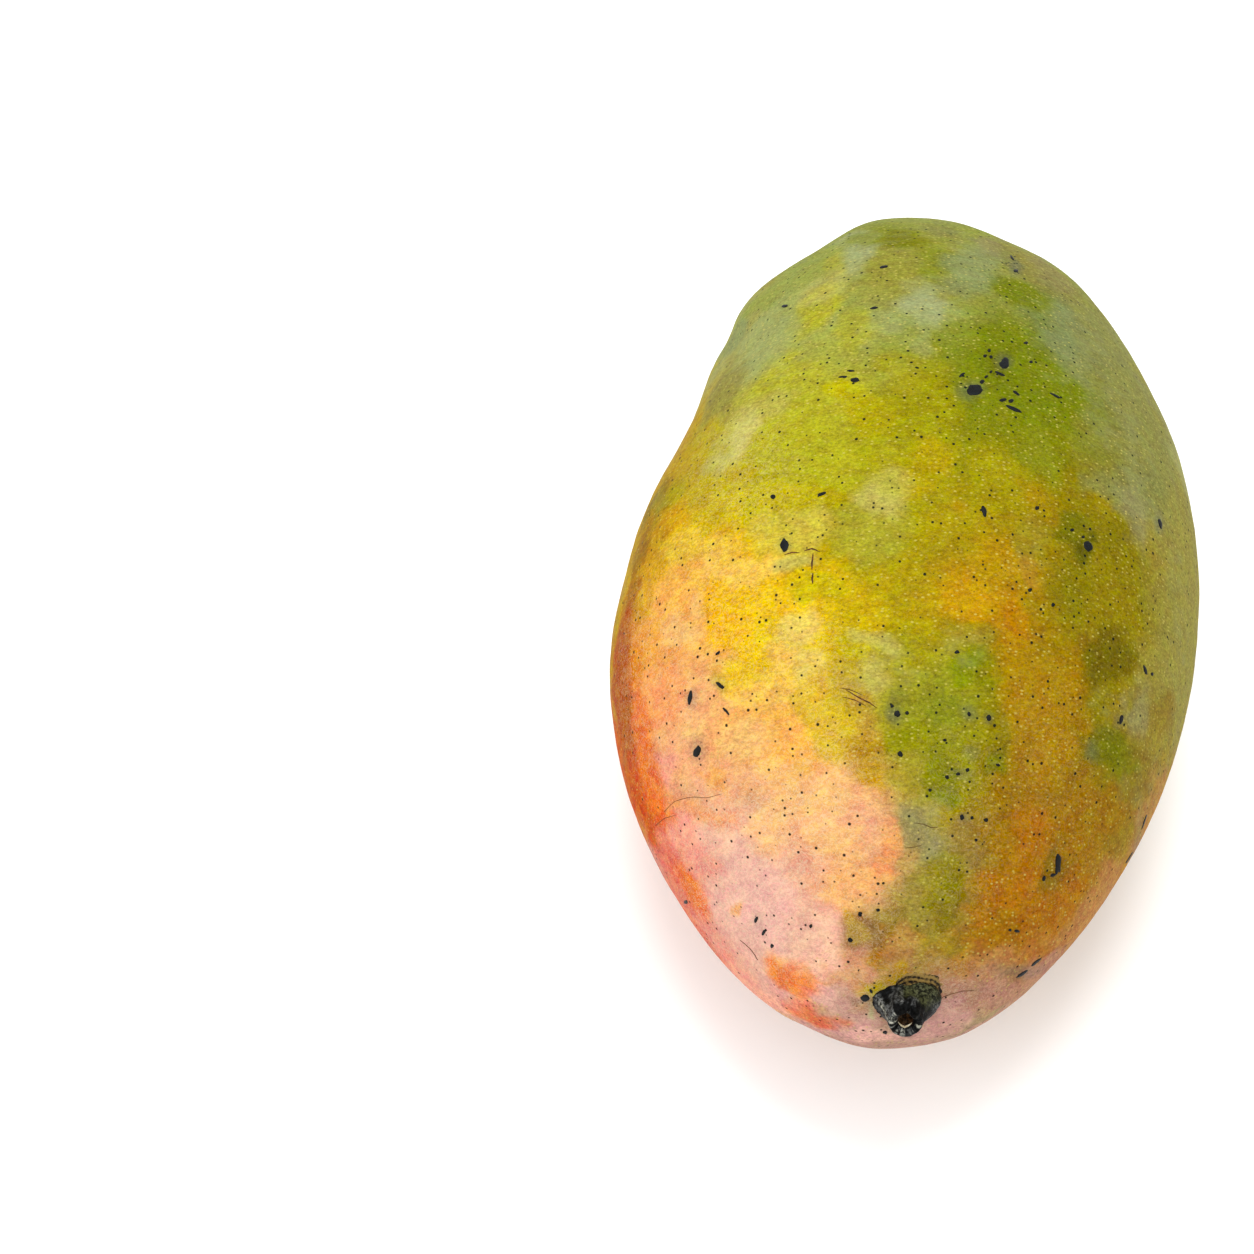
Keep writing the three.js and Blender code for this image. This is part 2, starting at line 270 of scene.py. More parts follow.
# Patches in the same terms. They have ragged edges.
PATCHES = (
    # The apex, at the top
    ("apex_olive", 0.9, 890, 236, 34, 12), ("pale_mist", 0.8, 858, 242, 26, 14, -25),
    ("misted_leaf", 0.6, 800, 272, 66, 13, -32), ("leaf", 0.8, 940, 258, 26, 18, 25),
    ("mist", 0.8, 972, 265, 26, 34, -30), ("misted_leaf", 0.8, 958, 309, 20, 12, 30),
    ("pale_mist", 0.85, 925, 308, 28, 22, 20), ("khaki", 0.8, 1040, 268, 60, 16, 38),
    ("grey_khaki", 0.6, 1058, 277, 28, 10, 38), ("grass", 0.6, 1018, 287, 24, 10, 20),
    ("dull_mist", 0.85, 1060, 330, 26, 56, -35), ("sage", 0.8, 1108, 345, 22, 44, -30),
    ("sage", 0.7, 1150, 430, 20, 70, -20), ("pale_mist", 0.3, 1181, 462, 8, 44, -12),
    # The left shoulder
    ("pale_lime", 0.7, 825, 268, 14, 9, -25), ("lime", 0.85, 812, 313, 44, 13, -45),
    ("cream_lime", 0.5, 828, 284, 28, 12, -35), ("sea_mist", 0.7, 762, 345, 18, 44, 35),
    ("sea_mist", 0.6, 888, 320, 26, 12, -5), ("lime", 0.7, 780, 378, 30, 16, -40),
    ("khaki", 0.8, 724, 390, 16, 30, 25), ("pale_cream", 0.5, 742, 434, 10, 30, 25),
    ("cream_lime", 0.5, 730, 425, 7, 20, 25), ("cream_lime", 0.5, 718, 462, 14, 18, 30),
    ("lime", 0.8, 805, 460, 48, 30), ("dark_mustard", 0.6, 882, 366, 14, 9),
    ("lemon_lime", 0.6, 838, 392, 16, 9), ("mustard", 0.5, 872, 418, 30, 16, 15),
    ("mustard", 0.8, 688, 492, 22, 22, -40), ("dark_mustard", 0.8, 664, 508, 10, 36, 28),
    # The green top
    ("grass", 0.8, 1022, 362, 54, 46, 30), ("grass", 0.8, 1062, 402, 24, 20),
    ("pale_lime", 0.8, 906, 382, 18, 16), ("dark_mustard", 0.7, 930, 400, 34, 44),
    ("mustard", 0.85, 932, 458, 26, 20, -10), ("olive", 0.6, 990, 470, 28, 36),
    ("leaf", 0.7, 1034, 450, 17, 30), ("deep_olive", 0.7, 1058, 446, 12, 14),
    ("sage", 0.8, 1102, 480, 16, 15), ("sage", 0.8, 1140, 490, 26, 30, -20),
    # Across the middle, on the right
    ("mustard", 0.7, 912, 486, 24, 10), ("mossy_gold", 0.6, 940, 520, 50, 18),
    ("dark_amber", 0.6, 964, 506, 11, 6), ("warm_olive", 0.6, 1010, 500, 26, 20),
    ("dull_tan", 0.7, 1032, 538, 25, 24), ("moss", 0.8, 1073, 520, 16, 13),
    ("gold_olive", 0.9, 1110, 530, 23, 29), ("grey_khaki", 0.8, 1142, 520, 12, 30, -10),
    ("mossy_gold", 0.7, 898, 612, 16, 26), ("amber", 0.9, 990, 560, 26, 26, 20),
    ("orange_gold", 0.8, 966, 592, 34, 24, 25), ("burnt", 0.85, 1016, 624, 17, 28, -10),
    ("tan", 0.8, 1032, 572, 17, 17), ("gold_olive", 0.8, 1078, 586, 22, 32),
    ("dull_tan", 0.7, 976, 632, 24, 15), ("spring_green", 0.9, 970, 662, 16, 19),
    ("dark_mustard", 0.7, 912, 650, 24, 21), ("dark_amber", 0.8, 1052, 694, 36, 44),
    ("dark_olive", 0.9, 1110, 660, 23, 32, 10), ("brown_khaki", 0.7, 1084, 636, 13, 11),
    ("grey_khaki", 0.8, 1140, 706, 14, 22, -10), ("brown_khaki", 0.7, 1165, 715, 10, 24, 10),
    ("moss", 0.9, 1108, 752, 26, 26), ("dark_amber", 0.8, 1058, 756, 23, 24),
    ("gold_olive", 0.7, 1000, 742, 13, 32), ("leaf", 0.7, 952, 716, 16, 20),
    ("dark_mustard", 0.5, 900, 722, 12, 15), ("green_olive", 0.7, 912, 738, 22, 11),
    # Across the middle, on the left
    # The brown khaki at the left edge is partly painted shade of a fruit lying beside it.
    ("brown_khaki", 0.8, 655, 500, 8, 30, 25), ("gold", 0.8, 668, 535, 28, 34, 20),
    ("gold", 0.6, 668, 527, 20, 12, -10), ("straw", 0.8, 732, 508, 23, 20),
    ("lemon_lime", 0.9, 772, 502, 27, 17), ("lime_gold", 0.8, 818, 503, 20, 9),
    ("pale_lime", 0.7, 868, 534, 44, 34), ("cream_lime", 0.5, 808, 536, 14, 26),
    ("lemon_lime", 0.8, 816, 589, 32, 14), ("yellow", 0.9, 750, 612, 28, 36),
    ("honey", 0.8, 672, 612, 44, 26), ("cream_honey", 0.7, 702, 604, 11, 14),
    ("light_yellow", 0.7, 772, 638, 18, 16), ("butter", 0.7, 806, 668, 20, 18),
    ("lemon", 0.9, 870, 610, 18, 15), ("lemon_lime", 0.7, 857, 652, 20, 17),
    ("cream_lime", 0.7, 880, 642, 26, 12, 25), ("apricot", 0.7, 650, 650, 32, 30),
    # The rust at the left edge is partly painted shade and a painted red reflection of a fruit lying beside
    # it.
    ("rust", 0.7, 622, 690, 10, 80), ("hot_orange", 0.7, 656, 700, 24, 38),
    ("peach", 0.6, 680, 752, 20, 36), ("light_yellow", 0.7, 752, 672, 44, 18),
    ("pale_yellow", 0.6, 772, 686, 34, 20), ("honey", 0.7, 780, 736, 50, 28),
    ("cream_honey", 0.7, 768, 768, 30, 20), ("straw", 0.6, 838, 722, 30, 34),
    ("tan", 0.6, 855, 702, 22, 13), ("tan", 0.5, 870, 752, 22, 34),
    ("forest", 0.4, 905, 705, 10, 14),
    # The lower left
    # The coral and the grey khaki at the left edge are partly painted shade and a painted red reflection of
    # a fruit lying beside it.
    ("coral", 0.8, 634, 775, 20, 30, 10), ("grey_khaki", 0.7, 622, 780, 7, 36, 14),
    ("pink", 0.7, 666, 768, 13, 18), ("peach", 0.7, 720, 778, 40, 20),
    ("apricot", 0.6, 709, 772, 9, 12), ("hot_orange", 0.7, 690, 812, 38, 14, 12),
    ("cream_honey", 0.7, 768, 828, 30, 28), ("cream_honey", 0.7, 828, 790, 30, 20),
    ("cream_honey", 0.7, 832, 843, 22, 18), ("honey", 0.5, 848, 880, 30, 30),
    ("deep_gold", 0.7, 878, 770, 12, 16), ("pink", 0.95, 684, 842, 26, 20, 12),
    ("rose", 0.85, 676, 876, 12, 48, -22), ("dusty_pink", 0.8, 652, 868, 7, 32, -24),
    ("pale_rose", 0.7, 748, 904, 48, 42, 20), ("pink", 0.8, 714, 870, 9, 10),
    ("apricot", 0.7, 733, 911, 8, 10), ("pale_pink", 0.7, 818, 942, 30, 25),
    ("brown_orange", 0.8, 866, 938, 30, 24), ("brown_orange", 0.8, 868, 936, 20, 14, -20),
    ("brown_khaki", 0.8, 894, 920, 17, 17), ("hot_orange", 0.9, 790, 970, 28, 13, 25),
    ("salmon", 0.7, 796, 1005, 20, 8, 25), ("tan_rose", 0.7, 838, 974, 28, 12, 20),
    ("dusty_pink", 0.7, 838, 1000, 20, 15), ("dusty_pink", 0.8, 812, 1026, 22, 7, 15),
    ("dusty_pink", 0.7, 850, 1030, 38, 17, 15), ("pink", 0.7, 740, 990, 46, 14, 42),
    ("scarlet", 0.6, 700, 950, 46, 6, 52),
    # The lower right
    ("apex_olive", 0.8, 994, 767, 15, 10), ("dull_tan", 0.6, 915, 763, 24, 13),
    ("grey_khaki", 0.7, 921, 828, 19, 34), ("apex_olive", 0.7, 941, 793, 15, 12),
    ("soft_umber", 0.6, 972, 835, 28, 28), ("brown_orange", 0.8, 1030, 835, 18, 26),
    ("brown_amber", 0.8, 1073, 806, 15, 22), ("brown_orange", 0.7, 1018, 884, 40, 20),
    ("brown", 0.7, 1112, 805, 24, 24), ("tan_orange", 0.6, 1150, 810, 14, 44, 20),
    ("tan_orange", 0.8, 1098, 895, 18, 36, 28), ("tan_orange", 0.7, 1072, 924, 16, 26, 35),
    ("gold_olive", 0.9, 940, 886, 20, 26), ("umber", 0.7, 946, 910, 10, 12),
    ("dull_tan", 0.6, 918, 880, 17, 22), ("brown_orange", 0.8, 988, 918, 13, 10),
    ("brown", 0.6, 980, 934, 12, 14), ("brown", 0.6, 1008, 928, 20, 20),
    ("tan_orange", 0.7, 906, 948, 18, 20), ("tan", 0.7, 924, 938, 8, 8),
    ("brown_khaki", 0.5, 956, 952, 14, 12), ("tan_orange", 0.85, 1000, 966, 32, 15, -25),
    ("tan_pink", 0.8, 968, 1006, 40, 18, -22), ("dusk_pink", 0.8, 900, 1036, 34, 9),
    ("grey_khaki", 0.6, 978, 1022, 44, 6, -24), ("earth", 0.4, 1020, 974, 24, 8, -35),
    ("mustard", 0.9, 879, 984, 11, 7, -20), ("amber", 0.8, 905, 970, 13, 7, -25),
    ("pale_mist", 0.6, 873, 1010, 4, 9, -35), ("pale_rose", 0.6, 880, 1036, 34, 8, 8),
    ("dusty_pink", 0.7, 935, 1030, 30, 9, -14), ("earth", 0.6, 848, 1002, 9, 4),
    ("dusty_pink", 0.7, 938, 1018, 22, 12, -20),
    # Along the left edge: the fruit's own red-brown blush, with painted shade and a painted red reflection
    # of a fruit lying beside it
    ("dull_tan", 0.8, 660, 506, 8, 12, 30), ("dark_amber", 0.8, 654, 520, 8, 14, 25),
    ("brown_amber", 0.85, 642, 553, 9, 30, 17), ("deep_gold", 0.8, 662, 540, 9, 16, 20),
    ("orange_gold", 0.8, 652, 567, 10, 18, 15), ("dull_orange", 0.85, 632, 595, 9, 28, 12),
    ("orange_gold", 0.7, 647, 598, 10, 24, 12), ("rust", 0.85, 622, 648, 8, 30, 5),
    ("rust", 0.9, 622, 690, 9, 36), ("rust", 0.9, 627, 735, 9, 32, -8),
    ("bright_orange", 0.8, 637, 668, 9, 26), ("vermilion", 0.8, 641, 722, 9, 30, -4),
    ("coral", 0.9, 635, 772, 12, 26, -12), ("coral", 0.9, 646, 812, 10, 26, -20),
    ("vermilion", 0.85, 655, 784, 10, 30, -15), ("vermilion", 0.8, 664, 820, 9, 20, -20),
    ("coral", 0.8, 653, 834, 7, 16, -22), ("rose", 0.8, 668, 846, 9, 20, -22),
    ("salmon", 0.8, 697, 904, 12, 14, -30), ("vermilion", 0.7, 652, 765, 9, 14, -10),
    ("vermilion", 0.9, 686, 884, 9, 34, -30),
    # Smaller patches on the left
    ("pale_yellow", 0.8, 742, 568, 44, 16, -10), ("cream_lime", 0.8, 794, 564, 26, 8, -5),
    ("cream_honey", 0.8, 682, 633, 18, 16), ("butter", 0.8, 809, 628, 17, 17),
    ("pale_yellow", 0.8, 785, 659, 14, 18), ("dull_gold", 0.7, 808, 691, 12, 24),
    ("cream_lime", 0.7, 874, 684, 18, 16), ("cream_lime", 0.8, 874, 496, 24, 14),
    ("lime", 0.8, 886, 477, 12, 10), ("pale_straw", 0.8, 788, 534, 36, 18),
    ("mustard", 0.8, 717, 479, 36, 11, -20), ("pale_gold", 0.8, 692, 547, 30, 20, -10),
    ("straw", 0.8, 706, 523, 16, 12), ("marigold", 0.8, 725, 612, 20, 32),
    ("cream_honey", 0.7, 798, 799, 28, 20), ("cream_honey", 0.8, 740, 735, 26, 16, -15),
    ("cream_honey", 0.6, 690, 727, 16, 14), ("hot_orange", 0.7, 884, 858, 12, 28, 10),
    ("pale_pink", 0.7, 710, 838, 13, 16, 20), ("pink", 0.8, 702, 868, 13, 14, 20),
    ("pale_rose", 0.7, 814, 990, 16, 8, 25), ("cream_lime", 0.5, 888, 481, 24, 16),
    ("cream_lime", 0.6, 768, 402, 26, 12, -30), ("pale_mist", 0.6, 858, 258, 16, 12),
    ("lime", 0.6, 850, 330, 16, 26), ("sea_mist", 0.7, 918, 332, 14, 22),
    ("dark_amber", 0.7, 874, 739, 18, 11), ("brick", 0.8, 806, 1016, 24, 6, 25),
    ("vermilion", 0.7, 782, 976, 24, 8, 40), ("brick", 0.8, 822, 1021, 18, 6, 18),
    ("pale_pink", 0.9, 808, 958, 26, 12, 15), ("tan_rose", 0.8, 866, 965, 20, 9, 20),
    ("orange_gold", 0.8, 851, 926, 10, 16), ("brown", 0.8, 874, 936, 12, 14),
    # Smaller patches on the right
    ("umber", 0.8, 1057, 862, 12, 24, 10), ("deep_moss", 0.8, 1087, 542, 11, 13),
    ("gold_olive", 0.8, 1106, 707, 16, 20), ("gold_olive", 0.7, 1122, 688, 14, 14),
    ("moss", 0.8, 1132, 767, 16, 30, 5), ("umber", 0.85, 951, 911, 14, 22),
    ("deep_olive", 0.8, 948, 793, 12, 14), ("brown_khaki", 0.7, 961, 949, 16, 12),
    ("deep_olive", 0.7, 992, 669, 13, 18), ("brown", 0.8, 1085, 867, 12, 36, 15),
    ("brown_khaki", 0.8, 1142, 787, 14, 16), ("tan_pink", 0.8, 1000, 1000, 26, 10, -30),
    ("tan_pink", 0.8, 1045, 967, 24, 11, -42), ("dull_orange", 0.8, 1063, 905, 13, 26, 25),
    ("brown_amber", 0.85, 1072, 828, 14, 34), ("brown_khaki", 0.8, 1148, 756, 12, 16),
    ("deep_olive", 0.8, 942, 779, 12, 30), ("gold_olive", 0.85, 945, 885, 16, 36),
    # Smaller patches at the top
    ("leaf", 0.9, 870, 238, 24, 8, -10), ("deep_olive", 0.8, 896, 237, 16, 9),
    ("mist", 0.8, 735, 342, 11, 22, 35), ("moss", 0.7, 1002, 368, 13, 13),
    ("sage", 0.8, 1008, 257, 20, 9, 25), ("misted_leaf", 0.8, 949, 312, 14, 11),
    ("sage", 0.8, 1103, 361, 26, 20), ("misted_leaf", 0.8, 760, 305, 16, 9, -35),
    ("sage", 0.8, 937, 229, 18, 7, 5), ("grey_khaki", 0.8, 986, 245, 18, 9, 18),
    ("grass", 0.8, 1027, 293, 24, 14),
)

# Waxy bloom with ragged edges: strength, pixel, half-sizes in pixels, and turn if any
BLOOM = (
    (1.0, 925, 300, 50, 40), (0.9, 975, 262, 40, 40, -30), (0.9, 858, 242, 30, 16, -25),
    (1.0, 1070, 340, 44, 70, -35), (0.8, 1120, 420, 40, 80, -25), (1.0, 765, 345, 40, 60, 35),
    (0.9, 830, 285, 50, 22, -35), (0.8, 885, 325, 50, 26), (0.8, 735, 440, 30, 50, 30),
    (0.9, 1140, 500, 34, 60, -20), (0.7, 1120, 700, 40, 50), (0.7, 960, 640, 50, 30),
    (0.8, 900, 660, 40, 40), (0.9, 925, 830, 40, 60), (0.7, 1150, 790, 30, 60, 20),
    (0.6, 810, 670, 34, 30), (0.6, 1040, 560, 40, 34), (0.7, 1180, 620, 20, 180),
    (0.6, 990, 980, 60, 24, -25),
)

# Bloom on the far sides: strength, polar angle, angle around, half-sizes in millimetres
FAR_BLOOM = (
    (0.6, 150, 90, 24, 34), (0.9, 160, 250, 22, 22), (0.8, 120, 340, 26, 16),
    (0.7, 80, 350, 30, 12), (0.6, 50, 250, 20, 14), (0.5, 100, 270, 22, 16),
)

# Where the skin is dotted more than elsewhere: pixel, half-sizes in pixels
DOTTED = (
    (1000, 385, 60, 50), (850, 370, 60, 26), (770, 490, 60, 30), (800, 560, 40, 40),
    (920, 710, 50, 30), (965, 750, 50, 40), (860, 940, 40, 34), (1030, 955, 40, 20),
    (1060, 580, 60, 60),
)

# Where pale curling fibres show in the skin, partly real scuffs and partly a painted sheen, strongest on
# the lower left: strength, pixel, half-sizes in pixels, and turn if any
FIBRES_AND_SHEEN = (
    (0.45, 740, 880, 110, 160, 20), (0.3, 650, 690, 50, 130), (0.2, 700, 620, 70, 110),
    (0.18, 790, 690, 80, 90), (0.18, 730, 470, 60, 70), (0.26, 850, 880, 60, 120),
    (0.3, 900, 1000, 110, 50), (0.12, 960, 850, 60, 120), (0.08, 1060, 820, 60, 160),
)

# Blue-grey stains in the skin, most of them round a dark mark: strength, pixel, half-sizes in pixels
STAINS = (
    (0.35, 697, 750, 8, 12), (0.3, 784, 546, 8, 8), (0.35, 974, 390, 14, 10),
    (0.3, 1005, 363, 10, 10), (0.4, 690, 698, 6, 12), (0.3, 720, 683, 9, 7), (0.35, 897, 714, 9, 6),
    (0.3, 969, 712, 7, 7), (0.3, 989, 718, 5, 6), (0.25, 969, 754, 8, 7), (0.25, 962, 773, 12, 6),
    (0.25, 964, 817, 7, 6), (0.25, 1121, 720, 5, 7), (0.4, 1160, 524, 5, 11),
    (0.35, 1016, 268, 6, 8), (0.25, 1092, 752, 7, 12), (0.3, 1138, 840, 6, 24),
    (0.3, 1026, 972, 22, 7), (0.35, 860, 935, 20, 16), (0.25, 757, 923, 5, 9),
    (0.4, 870, 1000, 10, 8), (0.15, 851, 688, 14, 8),
)

# Dark marks: pixel, half-sizes in pixels, and turn if any
INK_MARKS = (
    (974, 390, 8, 6), (1005, 363, 5, 6), (1014, 409, 9, 1.9, 25), (1000, 374, 6.5, 1.3, 22),
    (1016, 393, 4, 1.3, 35), (1055, 395.5, 7, 1, 28), (1003, 400, 4.5, 1.6, -12),
    (1011, 401, 2.6, 2), (982, 382, 2.6, 2, -30), (986, 377, 2.2, 1.3, -40),
    (991, 372, 2, 1.2, -40), (989, 351, 1.6, 1.4), (985, 356, 1.8, 1.5), (991, 357, 1.7, 1.6),
    (962, 375, 3.5, 1.3, -35), (1026, 343, 2.4, 1.4), (1031, 362, 1.7, 1.4),
    (984, 511, 2.6, 6, -12), (1088, 546, 4.2, 5.5, -20), (1083, 537, 1.8, 1.4),
    (1072, 530, 2.2, 1.6), (1090, 529, 1.4, 1.4), (1037, 508, 2.2, 2), (1030, 590, 2, 2),
    (1053, 605, 2, 2.4), (957, 652, 2.6, 2), (1058, 864, 3.2, 11, 2), (1044, 878, 1.8, 3, 10),
    (1053, 875, 3, 1.6, -20), (865, 998, 4.5, 3.8, 20), (871, 991, 1.5, 2.4, -30),
    (885, 1032, 2.4, 1.6, -10), (773, 497, 2.6, 2.4), (822, 494, 5, 1.7, -20), (784, 545, 4.8, 6),
    (697, 752, 4, 7, 15), (690, 698, 2, 8, 12), (720, 685, 5.5, 2, 40), (718, 653, 3, 1.4, -40),
    (726, 711, 5, 1.2, 50), (897, 714, 3.4, 3.2), (907, 713, 1.9, 1.9), (892, 706, 2, 1.8),
    (989, 718, 2.6, 3.2, 10), (969, 714, 1.8, 2.4, -15), (900, 754, 3, 2.8), (967, 770, 2.2, 2),
    (958, 774, 2, 1.8), (947, 777, 2.2, 2), (945, 740, 2, 1.5), (998, 765, 2.4, 1.6),
    (930, 790, 1.8, 1.6), (962, 817, 2.4, 2.8), (972, 818, 1.7, 1.7), (986, 820, 2.3, 2.3),
    (976, 840, 1.8, 1.6), (1145, 670, 1.5, 5, -15), (1152, 674, 1.4, 1.8), (1121, 720, 1.8, 5, 10),
    (1160, 524, 1.7, 6, -12), (1016, 271, 2.6, 1.8, 10), (1012, 258, 3, 1, 50),
    (874, 308, 4.5, 1.2, -8), (884, 267, 5, 1.2, -10), (785, 306, 3.5, 1.4, -12),
    (843, 377, 5, 1.1, -5), (855, 380, 4.6, 2.4), (851, 371, 4, 0.9, 5), (1144, 822, 0.7, 8, 18),
    (1129, 858, 0.7, 7, 32), (1036, 962, 6, 1.4, -38), (1022, 974, 7, 1.6, -32),
    (1010, 930, 1.8, 1.4), (1017, 931, 2.6, 1.5), (860, 914, 2.2, 2.6), (850, 940, 2.6, 2.2),
    (878, 910, 2.2, 1.6), (811, 926, 1.6, 2), (756, 920, 1.8, 3.6, 20), (764, 932, 1.6, 3.4, 30),
    (772, 946, 2, 2.2), (686, 902, 1.8, 1.8),
)

# Brown cracks and scratches, and one painted shadow line: width in pixels, and the pixels along them
CRACKS_AND_SHADOW_LINE = (
    (2.4, (784, 555), (792, 552), (800, 553)),
    (3.0, (804, 551), (812, 548), (820, 552)),
    (3.2, (813, 553), (812, 562), (812, 570)),
    (3.4, (813, 573), (812, 578), (813, 584)),
    (2.6, (846, 690), (858, 697), (868, 702), (877, 708)),
    (1.8, (842, 697), (856, 700), (866, 706)),
    (1.4, (840, 688), (852, 690), (862, 695)),
    (1.2, (914, 823), (924, 824), (932, 828), (938, 827)),
    (1.0, (905, 848), (914, 847), (922, 845)),
    (0.9, (664, 812), (674, 801), (690, 797), (708, 798), (722, 794)),
    (0.9, (655, 826), (664, 818), (676, 815)),
    # This line, running right from the stub's foot, is a painted shadow of the stub, not a crack.
    (0.8, (936, 1002), (944, 996), (958, 992), (975, 990)),
    (0.8, (740, 940), (752, 950), (758, 960)),
)

# How soft and how ragged the outlines of the painted spots are
FAR_EDGE = (0.6, 0.3)
WASH_EDGE = (0.6, 0.25)
PATCH_EDGE = (0.38, 0.42)
RIM_EDGE = (0.4, 0.3)
STAIN_EDGE = (0.6, 0.3)
# The waves that bend them: distance, size, seed and octaves. Stains are bent by this share of that.
WARPS = ((1.8, 9.0, 3, 3), (1.1, 2.6, 31, 2))
STAIN_WARP = 0.3
# The fringe of the ragged ones: size, seed and octaves
FRINGE = (5.0, 11, 4)
# A spot fades out this far below its own plane, so that it doesn't show on the other side of the fruit.
SPOT_DEPTH = 20.0
# A pixel off the fruit is moved towards its middle to these shares of the way, until it is on it.
EDGE_SEARCH = np.linspace(1, 0.8, 41)
# A spot seen at a slant is stretched along the slant, but by no more than this share allows.
LEAST_FACING = 0.3
# The shares of a spot's size at which soft cover is gone and full
BLOOM_FADE = (1.5, 0.2)
SOFT_FADE = (1.4, 0.4)
# How many dark dots there are everywhere, how many more where it is dotted, and the fibres everywhere
DOTS_EVERYWHERE = 0.6
DOTS_MORE = 0.38
FIBRES_EVERYWHERE = 0.03

# The skin's fine pattern: how it is squeezed lengthways, how far apart its features are,
# and the size of the smallest dark dot, with what the largest has on top of that
SQUEEZE = (1.0, 1.6, 1.0)
MOTTLE_SIZE = 4.5
PATCHY_SIZE = 2.2
GRAIN_SIZE = 0.6
HATCH_SIZE = 1.5
FILM_SIZE = 3.0
FIBRE_SIZE = 1.2
SPECKS_APART = 0.8
DOTS_APART = 1.15
SMALLEST_DOT = 0.1
DOT_GROWTH = 0.13

# Scabs: their sides, their height, how ragged their rims are and how deep they are rooted,
# and their rings from the top down, as a share of their size and a height over the skin
FLAKE_SIDES = 18
FLAKE_HEIGHT = 0.1
FLAKE_RAGGED = 0.32
FLAKE_ROOT = 0.25
FLAKE_RINGS = ((0.6, FLAKE_HEIGHT), (0.9, 0.7 * FLAKE_HEIGHT), (1.0, -0.05), (0.8, -FLAKE_ROOT))
# Cracks and the painted shadow line: steps between two pixels, how far the line strays in pixels, how much
# of each tip is left off, and the corners of the section, as half-widths to the side and a height over the
# skin
CRACK_STEPS = 6
CRACK_WANDER = 0.5
CRACK_TIP = 0.03
CRACK_SECTION = ((-1, -0.06), (0, 0.08), (1, -0.06), (0, -0.25))


# Numbers and noise

HASH_AXES = np.array((73856093, 19349663, 83492791))
HASH_SEED = 26544357
HASH_ROUNDS = ((13, 1274126177), (15, 2246822519))
SEED_SHIFT = 19.7
CLOUD_CONTRAST = 2.6


def unit(vector):
    return np.asarray(vector, float) / np.linalg.norm(vector)


def smoothstep(low, high, value):
    t = np.clip((value - low) / (high - low), 0, 1)
    return t * t * (3 - 2 * t)


def noise(points, size, seed):
    """Smooth noise from 0 to 1 at points, with features of the given size."""
    place = points / size + SEED_SHIFT * seed
    cell = np.floor(place).astype(np.int64)
    part = place - cell
    part = part**3 * (part * (part * 6 - 15) + 10)
    total = np.zeros(len(points))
    for corner in itertools.product((0, 1), repeat=3):
        key = (cell + corner) @ HASH_AXES + seed * HASH_SEED
        for shift, factor in HASH_ROUNDS:
            key = (key ^ (key >> shift)) * factor & 0xFFFFFFFF
        weight = np.prod(np.where(corner, part, 1 - part), axis=1)
        total += weight * ((key >> 8) & 0xFFFF) / 0xFFFF
    return total


def clouds(points, size, seed, octaves=3):
    """Layered noise from about -1 to 1."""
    layers = [noise(points, size / 2**k, seed + 7 * k) * 0.5**k for k in range(octaves)]
    return (sum(layers) / sum(0.5**k for k in range(octaves)) - 0.5) * CLOUD_CONTRAST


def rounded_off(values):
    """Values along a line with their corners rounded. The two ends stay."""
    values = values.copy()
    for _ in range(3):
        values[1:-1] = (values[:-2] + 2 * values[1:-1] + values[2:]) / 4
    return values


def tone(name):
    """A colour of the palette, in linear light."""
    part = np.array([int(PALETTE[name][i : i + 2], 16) for i in (0, 2, 4)]) / 255
    return np.where(part <= 0.04045, part / 12.92, ((part + 0.055) / 1.055) ** 2.4)


def light_on(normals):
    """How bright a white card would be that faces this way on the fruit."""
    x, y, z = np.moveaxis(normals, -1, 0)
    from_above = LIGHT_FROM_ABOVE * np.maximum(z, 0) ** 2
    return LIGHT_LEVEL + LIGHT_FROM_RIGHT * x + LIGHT_FROM_APEX * y + from_above


def paint_for(look, normals=FACING_UP):
    """The surface colour that looks like this in the studio light."""
    return np.maximum(look / light_on(normals)[..., None] - GLOSS, DARKEST_PAINT)


def as_painted(name):
    """The paint that looks like a colour of the palette."""
    return (*paint_for(tone(name)), 1.0)


# The skin's form


def station_curve(values, polar):
    """A smooth curve through the station values, as a sum of cosines, level at both poles."""
    last = len(values) - 1
    share = [0.5 if i in (0, last) else 1.0 for i in range(last + 1)]
    total = 0
    for k in range(last + 1):
        wave = sum(share[j] * values[j] * math.cos(math.pi * j * k / last) for j in range(last + 1))
        total = total + 2 / last * share[k] * wave * np.cos(k * polar)
    return total


